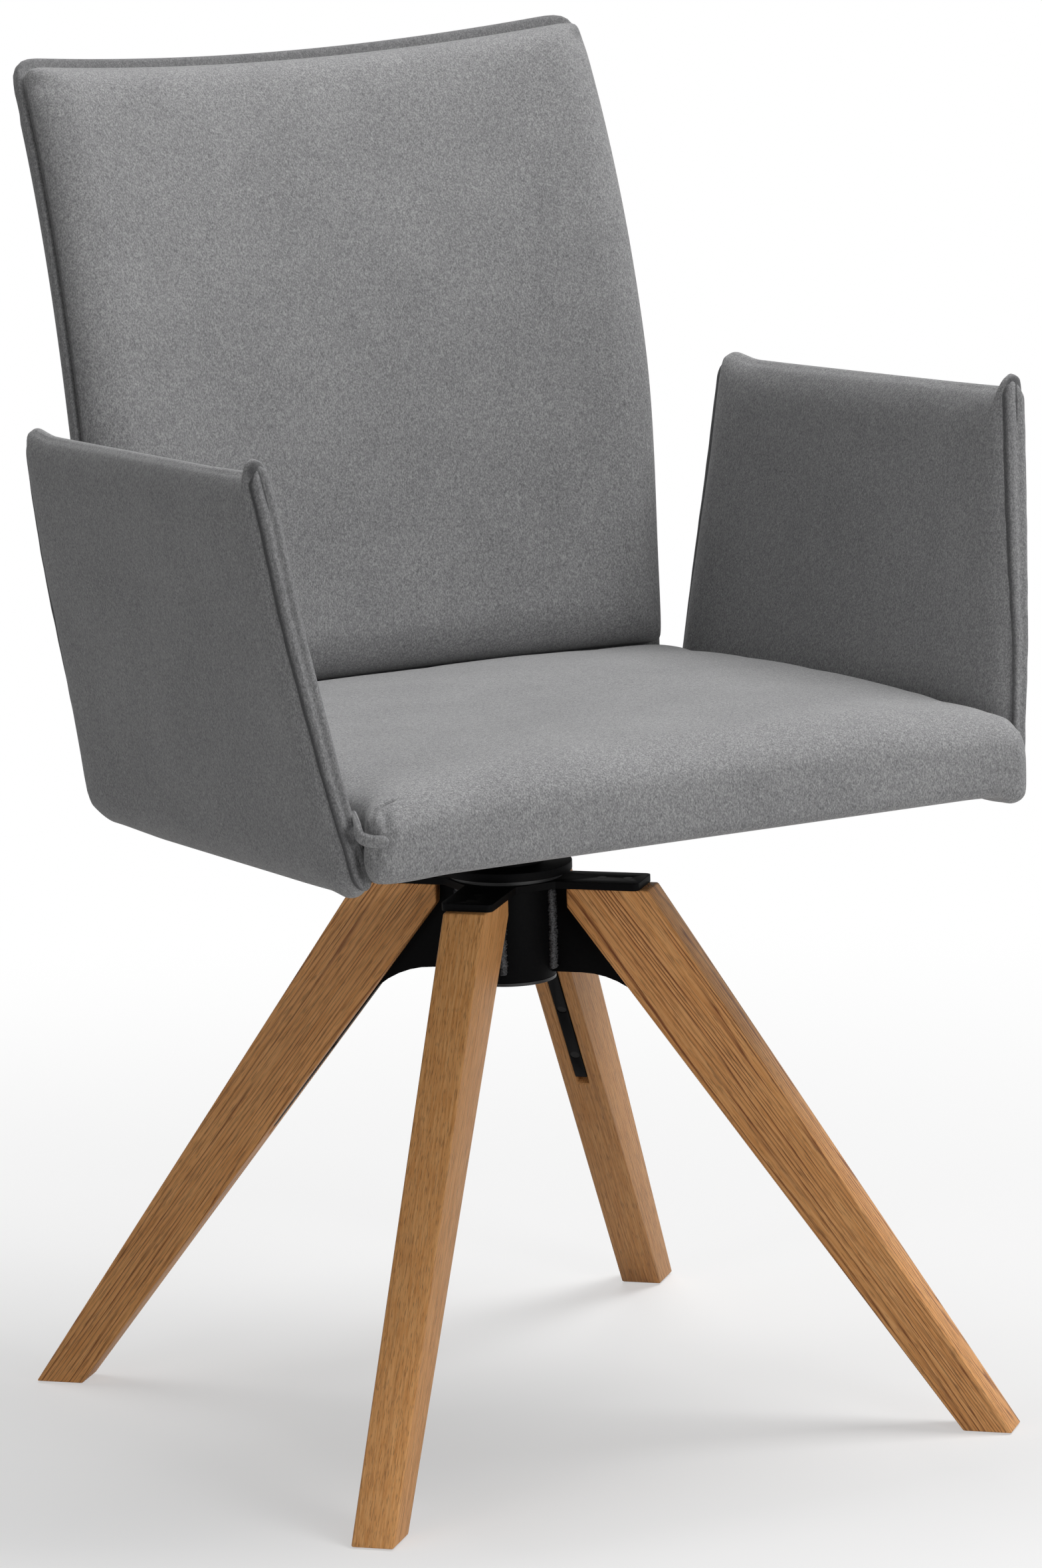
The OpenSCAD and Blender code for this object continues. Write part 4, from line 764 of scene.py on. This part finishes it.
def upright(name, places, thick):  # a cube whose four sides go to places in a leg's upright plane
    deselect()
    bpy.ops.mesh.primitive_cube_add(size=1)
    piece = named(name)
    for v in piece.data.vertices:
        reach, height = places[(v.co.x > 0) + 2 * (v.co.z > 0)]
        v.co = Vector((reach, math.copysign(thick / 2, v.co.y), height)) * mm
    return piece


pattern = upright("legPattern", [leg["footIn"], leg["footOut"], topIn, leg["topOut"]], leg["thick"])
pick(pattern, "FACE", lambda face: True)
bpy.ops.mesh.bisect(plane_co=(leg["nose"][0] * mm, 0, 0), plane_no=(1, 0, 0), clear_inner=True, use_fill=True)
slotEnds, slotSides = (-leg["slotPast"], leg["slotEnd"]), (-leg["slotOut"], leg["slotDepth"])
cutter = upright("slotCutter", [nose + faceDir * way + faceIn * side for way in slotEnds for side in slotSides],
                 leg["slotWidth"])
faceOut(cutter)
faceOut(pattern)
change(pattern, "BOOLEAN", operation="DIFFERENCE", object=cutter, solver="EXACT")
change(pattern, "BEVEL", width=leg["ease"] * mm, segments=3, limit_method="ANGLE", angle_limit=math.radians(25))
bpy.data.objects.remove(cutter)
for count, (word, corner) in enumerate(leg["corners"].items(), 1):
    piece = pattern.copy()
    piece.data = pattern.data.copy()
    scene.collection.objects.link(piece)
    piece.name = piece.data.name = "leg" + "".join(part.capitalize() for part in word.split("_"))
    for kind in ("figure", "tone"):
        share = piece.data.attributes.new(kind, "FLOAT", "POINT")
        share.data.foreach_set("value", [leg[kind][word]] * len(piece.data.vertices))
    grain = piece.data.attributes.new("grain", "FLOAT_VECTOR", "POINT")
    for v, value in zip(piece.data.vertices, grain.data):
        flat = Vector((v.co.x, v.co.z)) / mm - nose
        value.vector = Vector((flat.dot(faceIn), flat.dot(faceDir), v.co.y / mm + leg["grainStep"] * count)) * mm
    piece.data.transform(Matrix.Translation((0, tilt["axisY"] * mm, 0)) @ Matrix.Rotation(math.radians(corner), 4, "Z"))
    smooth(piece, 30)
    finishPiece(piece, oiledOak, base, ("leg_" + word,))
bpy.data.objects.remove(pattern)
print("chair: legs done")


def easedCopy(name, node, width, body, material):  # a steel part with its edges broken
    piece = bpy.data.objects.new(name, nodes[node].data.copy())
    scene.collection.objects.link(piece)
    activate(piece)
    bpy.ops.object.mode_set(mode="EDIT")
    bpy.ops.mesh.select_all(action="SELECT")
    bpy.ops.mesh.remove_doubles(threshold=1e-6)
    bpy.ops.mesh.dissolve_limited(angle_limit=math.radians(1))
    activate(piece)
    change(piece, "BEVEL", width=width * mm, segments=2, limit_method="ANGLE", angle_limit=math.radians(35))
    smooth(piece, 30)
    finishPiece(piece, material, body, (node,))
    return piece


easedCopy("crossPlate", "cross_plate", 0.7, base, powderBlack)
easedCopy("columnTube", "column_tube", 0.8, base, powderBlack)
easedCopy("swivelHub", "swivel_hub", 0.6, seatUnit, powderBlack)
easedCopy("seatPlate", "seat_plate", 0.5, seatUnit, powderBlack)
for word in leg["corners"]:
    name = "bracket" + "".join(part.capitalize() for part in word.split("_"))
    easedCopy(name, "bracket_" + word, 0.6, base, powderBlack)

# Weld beads, one each side of a bracket: a rippled run with spatter, not ground smooth.
weld = {"ease": 0.1, "voxel": 0.9, "full": 1.3, "ripple": 2.4, "rise": 0.45, "rough": 1.0, "grain": 1.7}
weldBeads = easedCopy("weldBeads", "weld_beads", weld["ease"], base, weldBlack)
change(weldBeads, "REMESH", mode="VOXEL", voxel_size=weld["voxel"] * mm)
points = readPoints(weldBeads)
ripple = np.sin(points[:, 2] * 2 * np.pi / weld["ripple"] + np.sin(points[:, 0] + points[:, 1]))
rough = np.array([noise.noise(Vector(point) / weld["grain"]) for point in points])
out = weld["full"] + weld["rise"] * ripple + weld["rough"] * rough
writePoints(weldBeads, points + readNormals(weldBeads) * out[:, None])
smooth(weldBeads)
print("chair: steel done")

# Dust cover: thin black spun-bond cloth, stretched over the seat's underside, its hem folded in and stapled.
dust = {"front": -243.7, "rear": 112.2, "halfFront": 189.9, "halfRear": 173.1, "lap": 5, "thick": 0.7, "cuts": 90,
        "staple": 42, "pucker": 0.45, "puckerAt": 16, "puckerWidth": 9, "level": 0.9, "hemFall": 2, "hem": (14, 6)}
deselect()
bpy.ops.mesh.primitive_grid_add(x_subdivisions=dust["cuts"], y_subdivisions=dust["cuts"], size=2)
dustCover = named("dustCover")
flat = readPoints(dustCover) * mm
front, rear = dust["front"] - dust["lap"], dust["rear"] + dust["lap"]
y = front + (rear - front) * (flat[:, 1] + 1) / 2
half = np.interp(y, [front, rear], [dust["halfFront"], dust["halfRear"]]) + dust["lap"]
x = flat[:, 0] * half
inward = np.minimum(half - np.abs(x), np.minimum(y - front, rear - y))
runAlong = np.where(half - np.abs(x) < np.minimum(y - front, rear - y), y, x)
z = dust["level"] - dust["hemFall"] * ramp(inward, *dust["hem"])
held = 0.5 + 0.5 * np.cos(2 * np.pi * runAlong / dust["staple"])
z -= dust["pucker"] * bump(inward, dust["puckerAt"], dust["puckerWidth"]) * held
writePoints(dustCover, fromSeatFrame(x, y, z))
change(dustCover, "SOLIDIFY", thickness=dust["thick"] * mm, offset=0)
smooth(dustCover, 50)
finishPiece(dustCover, spunCloth, seatUnit, ("dust_cover",))
print("chair: underside done")

# Light: a large soft lamp high on the sitter's left, one overhead, and two weak low ones in front.
light = {"keyLamp": ((2.02, -0.74, 4.22), 2.2, 137), "topLamp": ((0, 0.9, 4.6), 2.2, 70),
         "frontLamp": ((0.6, -4.24, 0.95), 1.2, 46), "sideLamp": ((-4.02, -1.46, 0.95), 1.2, 18), "aim": (0, 0, 0.5),
         "surround": 0.02, "floorSeen": "#f2f2f2", "floorLit": "#cccccc", "floorGlow": 0.5, "fadeFrom": 0.4,
         "fadeTo": 1.5, "floorSize": 30}
for name in ("keyLamp", "topLamp", "frontLamp", "sideLamp"):
    place, size, power = light[name]
    lampData = bpy.data.lights.new(name, "AREA")
    lampData.shape, lampData.size, lampData.energy = "SQUARE", size, power
    lamp = bpy.data.objects.new(name, lampData)
    lamp.location = place
    lamp.rotation_euler = (Vector(light["aim"]) - lamp.location).to_track_quat("-Z", "Y").to_euler()
    scene.collection.objects.link(lamp)
world = bpy.data.worlds.new("paleStudio")
scene.world = world
world.use_nodes = True
tree = world.node_tree
tree.nodes.clear()
rays = addNode(tree, "LightPath").outputs
seen = addNode(tree, "Math", {"operation": "MAXIMUM"}, {0: rays["Is Camera Ray"], 1: rays["Is Glossy Ray"]}).outputs[0]
seen = addNode(tree, "Math", {"operation": "MAXIMUM"}, {0: seen, 1: rays["Is Transmission Ray"]}).outputs[0]
strength = addNode(tree, "Mix", {"data_type": "FLOAT"}, {0: seen, 2: light["surround"], 3: 1.0}).outputs[0]
sky = addNode(tree, "Background", {}, {"Color": (1, 1, 1, 1), "Strength": strength}).outputs[0]
addNode(tree, "OutputWorld", {}, {"Surface": sky})

deselect()
bpy.ops.mesh.primitive_plane_add(size=light["floorSize"])
floor = named("studioFloor")
paleFloor, tree, shader = newMaterial("paleFloor", Roughness=0.9)
shader.inputs["Specular IOR Level"].default_value = 0.1
coords = addNode(tree, "TexCoord").outputs["Object"]
distance = addNode(tree, "VectorMath", {"operation": "LENGTH"}, {0: coords}).outputs["Value"]
fade = addNode(tree, "MapRange", {"interpolation_type": "SMOOTHSTEP"},
               {"Value": distance, 1: light["fadeFrom"], 2: light["fadeTo"], 3: light["floorGlow"]}).outputs[0]
rays = addNode(tree, "LightPath").outputs
seen = addNode(tree, "Math", {"operation": "MAXIMUM"}, {0: rays["Is Camera Ray"], 1: rays["Is Glossy Ray"]}).outputs[0]
fade = addNode(tree, "Math", {"operation": "MULTIPLY"}, {0: fade, 1: seen}).outputs[0]
tone = addNode(tree, "Mix", {"data_type": "RGBA"},
               {0: seen, 6: linear(light["floorLit"]), 7: linear(light["floorSeen"])})
tree.links.new(tone.outputs[2], shader.inputs["Base Color"])
white = addNode(tree, "Emission", {}, {"Color": (1, 1, 1, 1), "Strength": 1.0}).outputs[0]
mixed = addNode(tree, "MixShader", {}, {0: fade, 1: shader.outputs[0], 2: white}).outputs[0]
tree.links.new(mixed, tree.nodes["Material Output"].inputs["Surface"])
floor.data.materials.append(paleFloor)

scene.view_settings.view_transform = "Standard"
print("chair: scene done")
